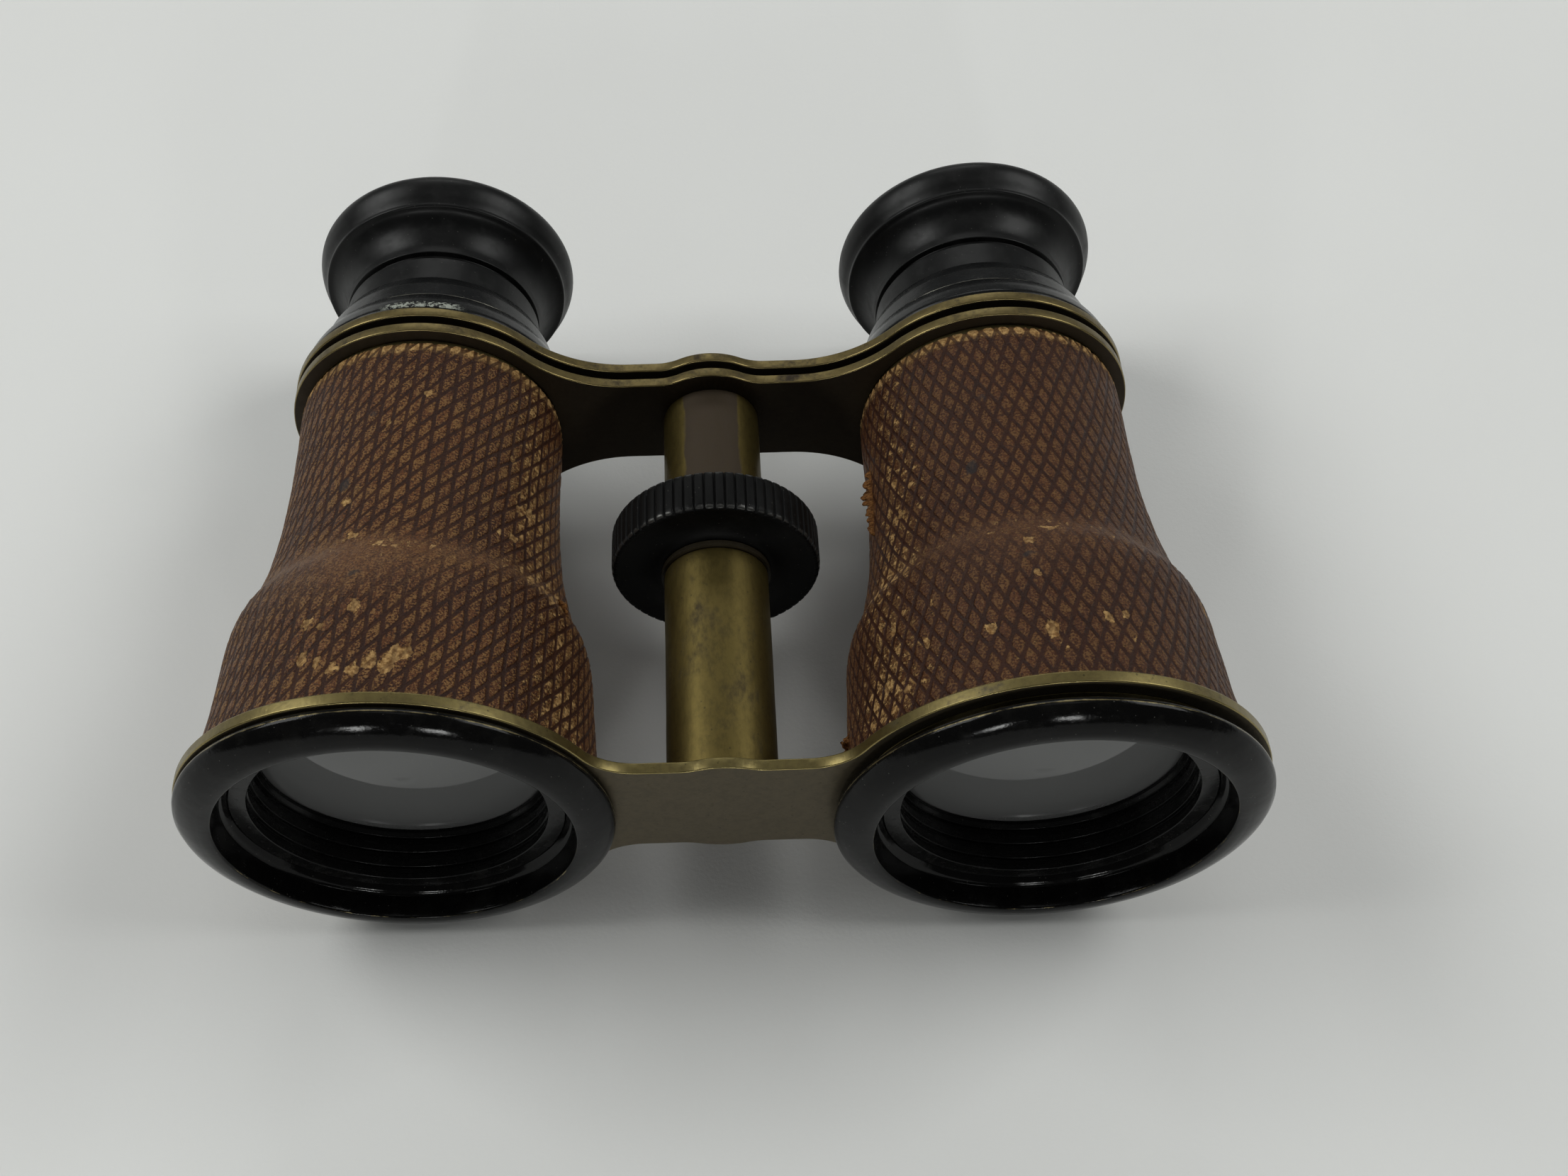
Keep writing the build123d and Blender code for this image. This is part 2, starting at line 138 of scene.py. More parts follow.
def rounded(corners):
    """Closed outline through (radius, station, rounding, wear) corners; wear peaks in mid-rounding."""
    steps, points, wear = 5, [], []
    for i, (radius, station, cut, worn) in enumerate(corners):
        here = np.array((radius, station), float)
        if cut == 0:
            points.append(here)
            wear.append(worn)
            continue
        before = np.array(corners[i - 1][:2]) - here
        after = np.array(corners[(i + 1) % len(corners)][:2]) - here
        start = here + before * min(cut / np.linalg.norm(before), 0.5)
        end = here + after * min(cut / np.linalg.norm(after), 0.5)
        for t in np.linspace(0, 1, steps):
            points.append(start * (1 - t)**2 + here * 2 * t * (1 - t) + end * t**2)
            wear.append(worn * math.sin(math.pi * t))
    return points, wear


def polar(radius, angle, station):
    """Point in metres at a turn round the axis, measured from +x."""
    return radius * math.cos(angle) * MM, station * MM, radius * math.sin(angle) * MM


def add_object(name, data):
    """New object in the scene."""
    made = bpy.data.objects.new(name, data)
    bpy.context.scene.collection.objects.link(made)
    return made


def make_object(name, mesh, x=0.0):
    """Object in the optical frame, with its origin on the line at distance x."""
    piece = add_object(name, mesh)
    piece.matrix_world = OPTICAL @ Matrix.Translation((x * MM, 0, 0))
    for polygon in mesh.polygons:
        polygon.use_smooth = True
    return piece


def settle(piece):
    """Turns a finished mesh to the frame's axes and leaves the object only moved, so its box is exact."""
    piece.data.transform(OPTICAL.to_3x3().to_4x4())
    piece.matrix_world = Matrix.Translation(piece.matrix_world.translation)


def finish_piece(piece, body, slot, node, *materials):
    """Material, body and CAD node of a piece. The slot argument is not used."""
    settle(piece)
    for material in materials:
        piece.data.materials.append(material)
    even = piece.modifiers.new("even_normals", "WEIGHTED_NORMAL")
    even.keep_sharp = True
    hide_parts(node)
    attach(piece, body)
    return piece


def face_outward(mesh):
    """Turns the faces of a closed mesh outward."""
    form = bmesh.new()
    form.from_mesh(mesh)
    bmesh.ops.recalc_face_normals(form, faces=form.faces)
    form.to_mesh(mesh)
    form.free()


def swept_mesh(name, vertices, wear, turns):
    """Closed mesh of an outline swept right round in so many turns. wear has a value for each vertex."""
    count = len(vertices) // turns
    faces = []
    for i in range(turns):
        j = (i + 1) % turns
        for k in range(count):
            m = (k + 1) % count
            faces.append((i * count + k, i * count + m, j * count + m, j * count + k))
    mesh = bpy.data.meshes.new(name)
    mesh.from_pydata(vertices, [], faces)
    mesh.attributes.new("wear", "FLOAT", "POINT").data.foreach_set("value", wear)
    face_outward(mesh)
    return mesh


def lathe(name, x, corners, steps=180, dent=0.0, seed=0.0, dark_inside=False):
    """Ring swept round a line along the axes. dent is the depth of its faint hand-made unevenness.

    dark_inside gives the faces that look toward the line the piece's second material."""
    points, wear = rounded(corners)
    dents_round, dents_along = 2.2, 0.16
    vertices = []
    for angle in np.linspace(0, 2 * math.pi, steps, endpoint=False):
        across, up = dents_round * math.cos(angle), dents_round * math.sin(angle)
        for radius, station in points:
            unevenness = dent * noise.noise(Vector((across, station * dents_along, up + seed)))
            vertices.append(polar(radius + unevenness, angle, station))
    mesh = swept_mesh(name, vertices, wear * steps, steps)
    if dark_inside:
        for polygon in mesh.polygons:
            centre = polygon.center
            outward = polygon.normal.x * centre.x + polygon.normal.z * centre.z
            polygon.material_index = 1 if outward < 0 else 0
    return make_object(name, mesh, x)


# ================ material helpers
class Shader:
    """A material and short names for the nodes it is built from. Places are in the optical frame, mm."""

    def __init__(self, name):
        self.material = bpy.data.materials.new(name)
        self.material.use_nodes = True
        self.tree = self.material.node_tree
        self.bsdf = self.tree.nodes["Principled BSDF"]
        texture = self.node("ShaderNodeTexCoord")
        self.place = self.untipped(texture.outputs["Object"], 1 / MM)
        self.normal = self.untipped(texture.outputs["Normal"], 1)

    def untipped(self, vector, scale):
        """A vector of the object turned back into the optical frame, and scaled."""
        turned_back = OPTICAL.inverted().to_euler()
        sockets = {"Vector": vector, "Rotation": turned_back, "Scale": (scale, scale, scale)}
        return self.node("ShaderNodeMapping", sockets, vector_type="POINT").outputs[0]

    def node(self, kind, sockets=None, **settings):
        made = self.tree.nodes.new(kind)
        for key, value in settings.items():
            setattr(made, key, value)
        for key, value in (sockets or {}).items():
            self.put(made.inputs[key], value)
        return made

    def link(self, source, socket):
        self.tree.links.new(source, socket)

    def put(self, socket, value):
        if isinstance(value, bpy.types.NodeSocket):
            self.link(value, socket)
        else:
            socket.default_value = value

    def math(self, operation, *values):
        made = self.node("ShaderNodeMath", operation=operation)
        for socket, value in zip(made.inputs, values):
            self.put(socket, value)
        return made.outputs[0]

    def times(self, first, second):
        return self.math("MULTIPLY", first, second)

    def plus(self, first, second):
        return self.math("ADD", first, second)

    def minus(self, first, second):
        return self.math("SUBTRACT", first, second)

    def axes(self, vector):
        made = self.node("ShaderNodeSeparateXYZ")
        self.link(vector, made.inputs[0])
        return made.outputs

    def stretched(self, x, y, z):
        """The place, with each direction scaled."""
        sockets = {0: self.place, 1: (x, y, z)}
        return self.node("ShaderNodeVectorMath", sockets, operation="MULTIPLY").outputs[0]

    def noise(self, per_mm, detail=3.0, rough=0.55, vector=None, distortion=0.0):
        sockets = {"Vector": vector or self.place, "Scale": per_mm, "Detail": detail, "Roughness": rough,
                   "Distortion": distortion}
        return self.node("ShaderNodeTexNoise", sockets).outputs["Fac"]

    def cells(self, per_mm, feature="F1"):
        sockets = {"Vector": self.place, "Scale": per_mm}
        return self.node("ShaderNodeTexVoronoi", sockets, feature=feature).outputs["Distance"]

    def step(self, value, low, high):
        """0 below low, 1 above high, smooth between; low may be the larger."""
        if low > high:
            return self.minus(1.0, self.step(value, high, low))
        sockets = {"Value": value, "From Min": low, "From Max": high}
        return self.node("ShaderNodeMapRange", sockets, interpolation_type="SMOOTHSTEP").outputs["Result"]

    def mix(self, amount, low, high):
        """Colour between low and high."""
        made = self.node("ShaderNodeMix", data_type="RGBA")
        self.put(made.inputs[0], amount)
        self.put(made.inputs[6], (*low, 1) if isinstance(low, tuple) else low)
        self.put(made.inputs[7], (*high, 1) if isinstance(high, tuple) else high)
        return made.outputs[2]

    def between(self, amount, low, high):
        """Number between low and high."""
        made = self.node("ShaderNodeMix", data_type="FLOAT")
        for socket, value in zip(made.inputs[:1] + made.inputs[2:4], (amount, low, high)):
            self.put(socket, value)
        return made.outputs[0]

    def attribute(self, name, output="Fac"):
        return self.node("ShaderNodeAttribute", attribute_name=name).outputs[output]

    def bump(self, height, depth, below=None):
        sockets = {"Distance": depth * MM, "Height": height}
        if below is not None:
            sockets["Normal"] = below
        return self.node("ShaderNodeBump", sockets).outputs["Normal"]

    def set(self, **values):
        """Sets or links the sockets of the surface, and gives back the material."""
        sockets = {"base": "Base Color", "ior": "IOR", "specular": "Specular IOR Level"}
        for key, value in values.items():
            name = sockets.get(key, key.replace("_", " ").title())
            if isinstance(value, tuple) and len(value) == 3:
                value = (*value, 1)
            self.put(self.bsdf.inputs[name], value)
        return self.material


def lacquer_material(name, coat, dust, worn, roughness, dulled=0.16, gloss=0.5, chalk=None):
    """Black lacquer or ebonite: near black, faintly scratched and dusty, rubbed through on its edges.

    dulled is how much rougher the dusty parts are, gloss how strongly it reflects. chalk is (x low,
    x high, station low, station high) of a patch of white flakes on the upper side."""
    s = Shader(name)
    scratches = s.step(s.noise(1.1, 5, 0.6, s.stretched(1, 6, 1)), 0.60, 0.66)
    dusty = s.step(s.noise(0.35, 6, 0.7), 0.45, 0.75)
    specks = s.step(s.cells(1.3), 0.10, 0.04)
    edge = s.attribute("wear")
    rubbed = s.step(s.plus(edge, s.times(s.noise(0.55, 5, 0.7), 0.9)), 1.10, 1.28)
    base = s.mix(s.times(dusty, 0.35), coat, dust)
    base = s.mix(s.times(specks, 0.35), base, (0.16, 0.155, 0.14))
    base = s.mix(rubbed, base, worn)
    if chalk:
        x, y, z = s.axes(s.place)
        x_low, x_high, y_low, y_high = chalk
        across = s.times(s.step(x, x_low, x_low + 2), s.step(x, x_high, x_high - 2))
        along = s.times(s.step(y, y_low, y_low + 0.1), s.step(y, y_high, y_high - 0.3))
        patch = s.times(s.times(across, along), s.step(z, 0, 2))
        flakes = s.times(patch, s.step(s.noise(1.9, 5, 0.7), 0.47, 0.52))
        base = s.mix(s.times(flakes, 0.9), base, (0.36, 0.38, 0.33))
    polish = s.between(dusty, roughness, roughness + dulled)
    polish = s.between(s.times(scratches, 0.5), polish, 0.42)
    grain = s.bump(s.noise(5.0, 4, 0.6), 0.006)
    return s.set(
        base=base,
        metallic=s.times(rubbed, 0.85),
        ior=1.28,
        specular=gloss,
        roughness=s.between(rubbed, polish, 0.34),
        normal=s.bump(s.noise(0.35, 2, 0.5), 0.05, grain),
    )


def brass_material(name, bright, patina, amount, roughness, streak=1.0, face_dark=0.0, lacquered=0.0):
    """Old brass: tarnish in clouds and specks, rubbed bright on edges, fine handling scratches.

    amount is how far the tarnish spreads, streak its stretch across the axes and face_dark its strength
    on faces square to them. lacquered is the half width, mm, of a strip of brown lacquer left on top."""
    s = Shader(name)
    clouds = s.noise(0.16, 7, 0.62, s.stretched(1, streak, 1), 0.6)
    fine = s.noise(1.4, 5, 0.7, s.stretched(1, streak, 1))
    cloudy = s.plus(s.times(clouds, 0.7), s.times(fine, 0.3))
    tarnish = s.step(cloudy, 0.66 - amount, 0.86 - amount)
    if face_dark:
        across = s.math("ABSOLUTE", s.axes(s.normal)[1])
        tarnish = s.math("MAXIMUM", tarnish, s.times(s.step(across, 0.6, 0.95), face_dark))
    specks = s.step(s.cells(0.9), 0.13, 0.05)
    spots = s.step(s.noise(0.8, 4, 0.6), 0.66, 0.72)
    edge = s.attribute("wear")
    rubbed = s.step(s.plus(edge, s.times(fine, 0.5)), 0.55, 0.95)
    base = s.mix(tarnish, bright, patina)
    base = s.mix(s.times(s.step(fine, 0.35, 0.75), 0.35), base, tuple(v * 0.45 for v in patina))
    base = s.mix(s.times(specks, 0.6), base, (0.03, 0.026, 0.018))
    base = s.mix(s.times(spots, 0.5), base, (0.06, 0.048, 0.022))
    base = s.mix(rubbed, base, tuple(v * 1.35 for v in bright))
    if lacquered:
        x, _, z = s.axes(s.place)
        ragged = s.minus(s.noise(0.8, 5, 0.6, s.stretched(1, 0.25, 1)), 0.5)
        strip = s.step(s.plus(s.math("ABSOLUTE", x), ragged), lacquered, lacquered - 0.3)
        strip = s.times(strip, s.step(z, 0, 1))
        brown = s.mix(fine, (0.032, 0.022, 0.016), (0.048, 0.035, 0.027))
        base = s.mix(s.times(strip, 0.88), base, brown)
        tarnish = s.math("MAXIMUM", tarnish, strip)
    scratch = s.noise(3.0, 4, 0.7, s.stretched(1, 0.15, 1))
    return s.set(
        base=base,
        metallic=s.between(tarnish, 0.90, 0.55),
        specular=0.3,
        roughness=s.between(rubbed, s.between(tarnish, roughness, roughness + 0.2), 0.26),
        normal=s.bump(scratch, 0.012, s.bump(clouds, 0.08)),
    )


def leather_material(name, grime):
    """Red-brown embossed leather: dark grooves, pebbled lozenges, tan where it has worn through.

    grime is how far handling has darkened it, 0 to 1."""
    s = Shader(name)
    lattice = s.axes(s.attribute("lattice", "Vector"))
    station = s.axes(s.place)[1]
    to_lines = [s.math("PINGPONG", line, 0.5) for line in lattice[:2]]
    near = s.math("SMOOTH_MIN", *to_lines, 0.16)
    wobble = s.times(s.minus(s.noise(1.6, 5, 0.65), 0.5), 0.11)
    near = s.plus(near, wobble)
    fade, rub = s.attribute("fade"), s.attribute("rub")
    kept = s.minus(1.0, s.times(fade, 0.85))
    groove = s.times(s.step(near, 0.185, 0.085), kept)
    pebble = s.noise(4.6, 3, 0.6)
    grain = s.cells(5.5, "SMOOTH_F1")
    broad = s.noise(0.10, 4, 0.6)
    patchy = s.noise(0.45, 5, 0.65)

    top = s.mix(s.step(broad, 0.35, 0.66), (0.067, 0.0213, 0.0074), (0.118, 0.0425, 0.0130))
    speckle = s.plus(pebble, s.times(s.minus(patchy, 0.5), 0.35))
    top = s.mix(s.times(s.step(speckle, 0.50, 0.58), 0.70), top, (0.235, 0.130, 0.046))
    top = s.mix(s.times(s.step(pebble, 0.48, 0.40), 0.85), top, (0.014, 0.0060, 0.0036))
    top = s.mix(s.times(s.step(patchy, 0.56, 0.70), 0.35), top, (0.190, 0.100, 0.036))
    top = s.mix(s.times(fade, 0.35), top, (0.120, 0.052, 0.019))
    top = s.mix(grime * 0.6, top, (0.046, 0.0155, 0.0064))
    red = s.mix(s.step(patchy, 0.3, 0.7), (0.019, 0.0062, 0.0036), (0.035, 0.0112, 0.0060))
    skin = s.mix(s.times(groove, 0.93), top, red)

    # Worn to the tan core: named patches, flecks on the raised lozenges, and both frayed ends.
    coarse = s.minus(s.noise(0.9, 6, 0.75), 0.5)
    ragged = s.minus(s.noise(2.4, 6, 0.75), 0.5)
    torn = s.plus(s.times(coarse, 1.9), s.times(ragged, 1.3))
    patch = s.step(s.plus(lattice[2], torn), 0.08, 0.18)
    flecks = s.plus(s.noise(1.25, 6, 0.75), s.times(rub, 0.19))
    flecks = s.plus(flecks, s.times(broad, 0.25))
    flecks = s.times(s.step(flecks, 0.79, 0.84), s.step(near, 0.09, 0.19))
    to_end = s.math("MINIMUM", s.minus(station, SLEEVE_FRONT),
                    s.times(s.minus(SLEEVE_REAR, station), 0.62))
    fringe = s.step(s.plus(to_end, s.times(ragged, 1.7)), 1.05, 0.60)
    fringe = s.times(fringe, s.between(groove, 1.0, 0.30))
    worn = s.math("MAXIMUM", s.math("MAXIMUM", patch, flecks), fringe)
    tan = s.mix(s.step(s.noise(2.2, 6, 0.7), 0.35, 0.65), (0.17, 0.082, 0.026), (0.48, 0.300, 0.120))
    worn = s.times(worn, s.between(groove, 1.0, 0.60))
    colour = s.mix(worn, skin, tan)
    stain = s.step(s.noise(0.22, 2, 0.5), 0.715, 0.76)
    colour = s.mix(s.times(stain, 0.75), colour, (0.018, 0.017, 0.019))

    polish = s.between(s.step(patchy, 0.35, 0.7), 0.46, 0.62)
    polish = s.between(fade, s.between(worn, polish, 0.85), 0.48)
    pressed = s.bump(s.times(groove, -1.0), 0.05)
    fine = s.bump(s.plus(grain, pebble), 0.06, pressed)
    fine = s.bump(s.times(worn, -1.0), 0.06, fine)
    return s.set(base=colour, roughness=polish, normal=fine, specular=s.between(fade, 0.17, 0.26))


def torn_material(name):
    """Fibrous torn leather: rusty brown with paler strands."""
    s = Shader(name)
    strands = s.noise(2.4, 6, 0.75, s.stretched(1, 2.5, 1))
    base = s.mix(s.step(strands, 0.38, 0.62), (0.060, 0.022, 0.008), (0.24, 0.105, 0.032))
    base = s.mix(s.step(s.noise(5.0, 4, 0.7), 0.55, 0.70), base, (0.38, 0.21, 0.08))
    return s.set(base=base, roughness=0.85, specular=0.1, normal=s.bump(strands, 0.12))


def glass_material(name, tint, haze, ior):
    """Old lens glass: a tint, a veil of dust and haze, and a few fine sleeks."""
    s = Shader(name)
    dust = s.step(s.noise(1.8, 6, 0.75), 0.60, 0.78)
    specks = s.step(s.cells(0.85), 0.075, 0.03)
    sleeks = s.step(s.noise(0.7, 3, 0.5, s.stretched(5, 1, 0.5)), 0.70, 0.72)
    veil = s.plus(s.times(dust, 0.02), s.times(specks, 0.5))
    veil = s.plus(veil, s.times(sleeks, 0.05))
    veil = s.math("MINIMUM", s.plus(veil, haze), 1.0)
    return s.set(
        base=s.mix(veil, tint, (0.128, 0.128, 0.127)),
        transmission_weight=s.minus(1.0, veil),
        roughness=s.times(dust, 0.05),
        ior=ior,
    )


def steel_material(name):
    """Bare steel under a thin film of old oil."""
    s = Shader(name)
    oil = s.noise(0.6, 5, 0.6)
    return s.set(
        base=s.mix(s.step(oil, 0.4, 0.7), (0.30, 0.29, 0.27), (0.12, 0.105, 0.085)),
        metallic=1.0,
        roughness=s.between(oil, 0.25, 0.5),
        normal=s.bump(s.noise(6, 3, 0.6), 0.01),
    )


def paper_material(name):
    """Pale paper, faintly mottled and fibrous."""
    s = Shader(name)
    fibre = s.noise(1.5, 5, 0.7)
    mottle = s.step(s.noise(0.012, 3, 0.5), 0.35, 0.65)
    return s.set(
        base=s.mix(mottle, (0.812, 0.813, 0.800), (0.828, 0.830, 0.817)),
        roughness=s.between(fibre, 0.75, 0.95),
        normal=s.bump(fibre, 0.03),
    )


BROWN_DUST, GREY_DUST = (0.016, 0.0155, 0.014), (0.016, 0.016, 0.0155)
black_lacquer = lacquer_material("black_lacquer", (0.0035, 0.0034, 0.0034), BROWN_DUST,
                                 (0.20, 0.165, 0.085), 0.09, dulled=0.10, gloss=0.36)
cell_black = lacquer_material("cell_black", (0.0040, 0.0040, 0.0040), BROWN_DUST, (0.12, 0.11, 0.08), 0.20)
tube_black = lacquer_material("tube_black", (0.0035, 0.0035, 0.0036), (0.008, 0.008, 0.008),
                              (0.03, 0.03, 0.028), 0.62)
ebonite = lacquer_material("ebonite", (0.0042, 0.0043, 0.0044), GREY_DUST, (0.10, 0.10, 0.098), 0.36)
COLLAR_COAT = ((0.0046, 0.0048, 0.0050), GREY_DUST, (0.15, 0.145, 0.12), 0.24, 0.06)
collar_black = lacquer_material("collar_black", *COLLAR_COAT)
chalked_black = lacquer_material("chalked_black", *COLLAR_COAT,
                                 chalk=(-4.5, 5.5, COLLAR_FRONT + 0.3, COLLAR_FRONT + 1.5))
wheel_black = lacquer_material("wheel_black", (0.0036, 0.0036, 0.0036), (0.014, 0.0138, 0.013),
                               (0.085, 0.084, 0.080), 0.44, gloss=0.25)
dark_bronze = lacquer_material("dark_bronze", (0.030, 0.024, 0.015), (0.050, 0.042, 0.028),
                               (0.30, 0.24, 0.12), 0.30)
plate_brass = brass_material("plate_brass", (0.190, 0.152, 0.060), (0.080, 0.066, 0.047), 0.12, 0.36,
                             face_dark=0.85)
rear_brass = brass_material("rear_brass", (0.160, 0.123, 0.050), (0.036, 0.026, 0.016), 0.20, 0.38,
                            face_dark=0.97)
TUBE_COLOURS = (0.130, 0.098, 0.031), (0.058, 0.043, 0.019)
tube_brass = brass_material("tube_brass", *TUBE_COLOURS, 0.14, 0.46, streak=0.5)
lacquered_brass = brass_material("lacquered_brass", *TUBE_COLOURS, 0.14, 0.42, streak=0.5, lacquered=3.2)
inner_brass = brass_material("inner_brass", (0.20, 0.16, 0.07), (0.07, 0.056, 0.03), 0.14, 0.40)
GRIME = {"left": 0.0, "right": 0.75}
leathers = {side: leather_material(f"worn_leather_{side}", grime) for side, grime in GRIME.items()}
torn_leather = torn_material("torn_leather")
objective_glass = glass_material("objective_glass", (0.10, 0.105, 0.105), 0.93, 1.53)
cemented_glass = glass_material("cemented_glass", (0.70, 0.74, 0.73), 0.02, 1.02)
eye_glass = glass_material("eye_glass", (0.86, 0.90, 0.88), 0.02, 1.53)
screw_steel = steel_material("oiled_steel")
paper = paper_material("paper")


# ================ leather sleeves
GROOVE_DEPTH = 0.10
GROOVE_SHARE = 0.22                      # half width of a groove, as a share of the line distance
CELL_STEPS = (0.0, 0.10, GROOVE_SHARE, 1 - GROOVE_SHARE, 0.90)
SEAM_GAP = 0.012                         # half width of the butt seam, radians
SHOULDER, RIDGE, CREASE = 24.0, 22.4, 24.4    # stations of the worn shoulder and of its wrinkles
# Middle of the wrapped sheet, degrees round from +x; how far each family of embossed lines leans
# from the axis, degrees toward +x going to the rear; and the distance between its lines.
SHEETS = {"left": (72.0, (4.0, 41.0), (1.50, 1.47)), "right": (98.0, (23.0, -27.0), (1.63, 1.47))}
# Degrees round where hands and the case have rubbed most, on the inner side of each barrel.
INNER_SIDE = {"left": 32.0, "right": 148.0}
WORN_FLAT = {"left": 1.0, "right": 0.35}  # how far the top of the drum is worn flat, 0 to 1
# Patches worn to the tan core: (degrees round, station, half width, half length), mm.
SCUFFS = {
    "left": [
        (81.6, 10.1, 1.25, 1.15), (85.0, 8.5, 0.85, 1.2), (89.5, 8.9, 0.7, 1.3), (94.0, 8.2, 0.75, 1.1),
        (99.4, 8.4, 0.7, 0.9), (104.4, 13.6, 0.8, 0.5), (110.0, 14.4, 0.9, 0.5), (95.5, 15.7, 0.75, 0.65),
        (109.0, 10.1, 0.6, 0.9), (104.0, 9.4, 0.55, 0.8), (98.7, 26.4, 0.5, 0.25), (103.0, 25.7, 0.8, 0.5),
        (110.4, 31.5, 0.7, 0.4), (62.7, 27.2, 0.35, 0.5), (62.7, 24.5, 0.45, 0.45), (43.3, 29.2, 0.6, 0.5),
        (49.7, 29.2, 0.4, 0.4), (43.0, 40.3, 0.35, 0.4), (81.6, 46.0, 0.5, 0.35), (93.0, 43.9, 0.5, 0.5),
        (98.0, 42.0, 0.6, 0.55), (38.0, 36.0, 0.6, 0.5), (34.0, 34.2, 0.7, 0.8), (40.0, 34.0, 0.4, 0.5),
        (42.4, 18.3, 0.35, 0.25), (39.2, 18.0, 0.3, 0.25), (41.5, 12.8, 0.5, 0.4), (33.0, 23.6, 0.8, 0.4),
        (92.0, 24.2, 1.5, 0.35), (85.0, 23.6, 1.1, 0.3), (76.0, 24.0, 1.2, 0.3), (150.0, 12.0, 0.7, 0.9),
        (200.0, 30.0, 0.6, 0.8), (235.0, 14.0, 1.1, 0.7), (300.0, 20.0, 0.9, 1.1), (320.0, 44.0, 0.6, 0.6),
        (270.0, 19.5, 2.2, 0.8), (180.0, 21.0, 0.5, 1.1),
    ],
    "right": [
        (111.6, 11.8, 0.7, 0.9), (94.8, 10.1, 0.62, 1.5), (78.2, 11.8, 0.6, 0.7), (72.8, 12.5, 0.5, 0.5),
        (71.5, 9.7, 0.4, 0.7), (92.0, 7.8, 0.5, 0.5), (95.9, 7.6, 0.25, 0.6), (57.3, 16.6, 0.65, 0.4),
        (96.5, 21.5, 0.7, 0.4), (95.9, 17.6, 0.45, 0.35), (89.0, 23.4, 0.5, 0.4), (138.6, 35.3, 0.6, 0.6),
        (132.6, 35.6, 0.4, 0.4), (136.0, 31.7, 0.5, 0.6), (142.4, 31.3, 0.5, 0.6), (146.0, 32.6, 0.5, 0.7),
        (143.0, 16.3, 0.45, 1.0), (146.8, 10.0, 0.5, 0.8), (138.0, 16.5, 0.4, 0.5), (128.0, 16.8, 0.3, 0.5),
        (138.0, 8.4, 0.7, 0.5), (142.7, 7.6, 0.6, 0.6), (130.7, 12.3, 0.3, 0.6), (152.0, 40.0, 0.5, 0.8),
        (155.0, 24.0, 0.6, 0.6), (30.0, 19.0, 0.6, 1.0), (350.0, 12.0, 0.8, 0.8), (300.0, 33.0, 0.7, 0.9),
        (270.0, 19.0, 2.4, 0.9), (220.0, 15.0, 0.8, 1.2), (200.0, 45.0, 0.6, 0.8),
    ],
}


def away(angle, degrees):
    """Turn from a direction given in degrees, between -pi and pi."""
    return np.angle(np.exp(1j * (angle - math.radians(degrees))))


def bell(value, middle, half_width):
    """1 at the middle, falling smoothly to nothing on both sides."""
    return np.exp(-((value - middle) / half_width)**2)


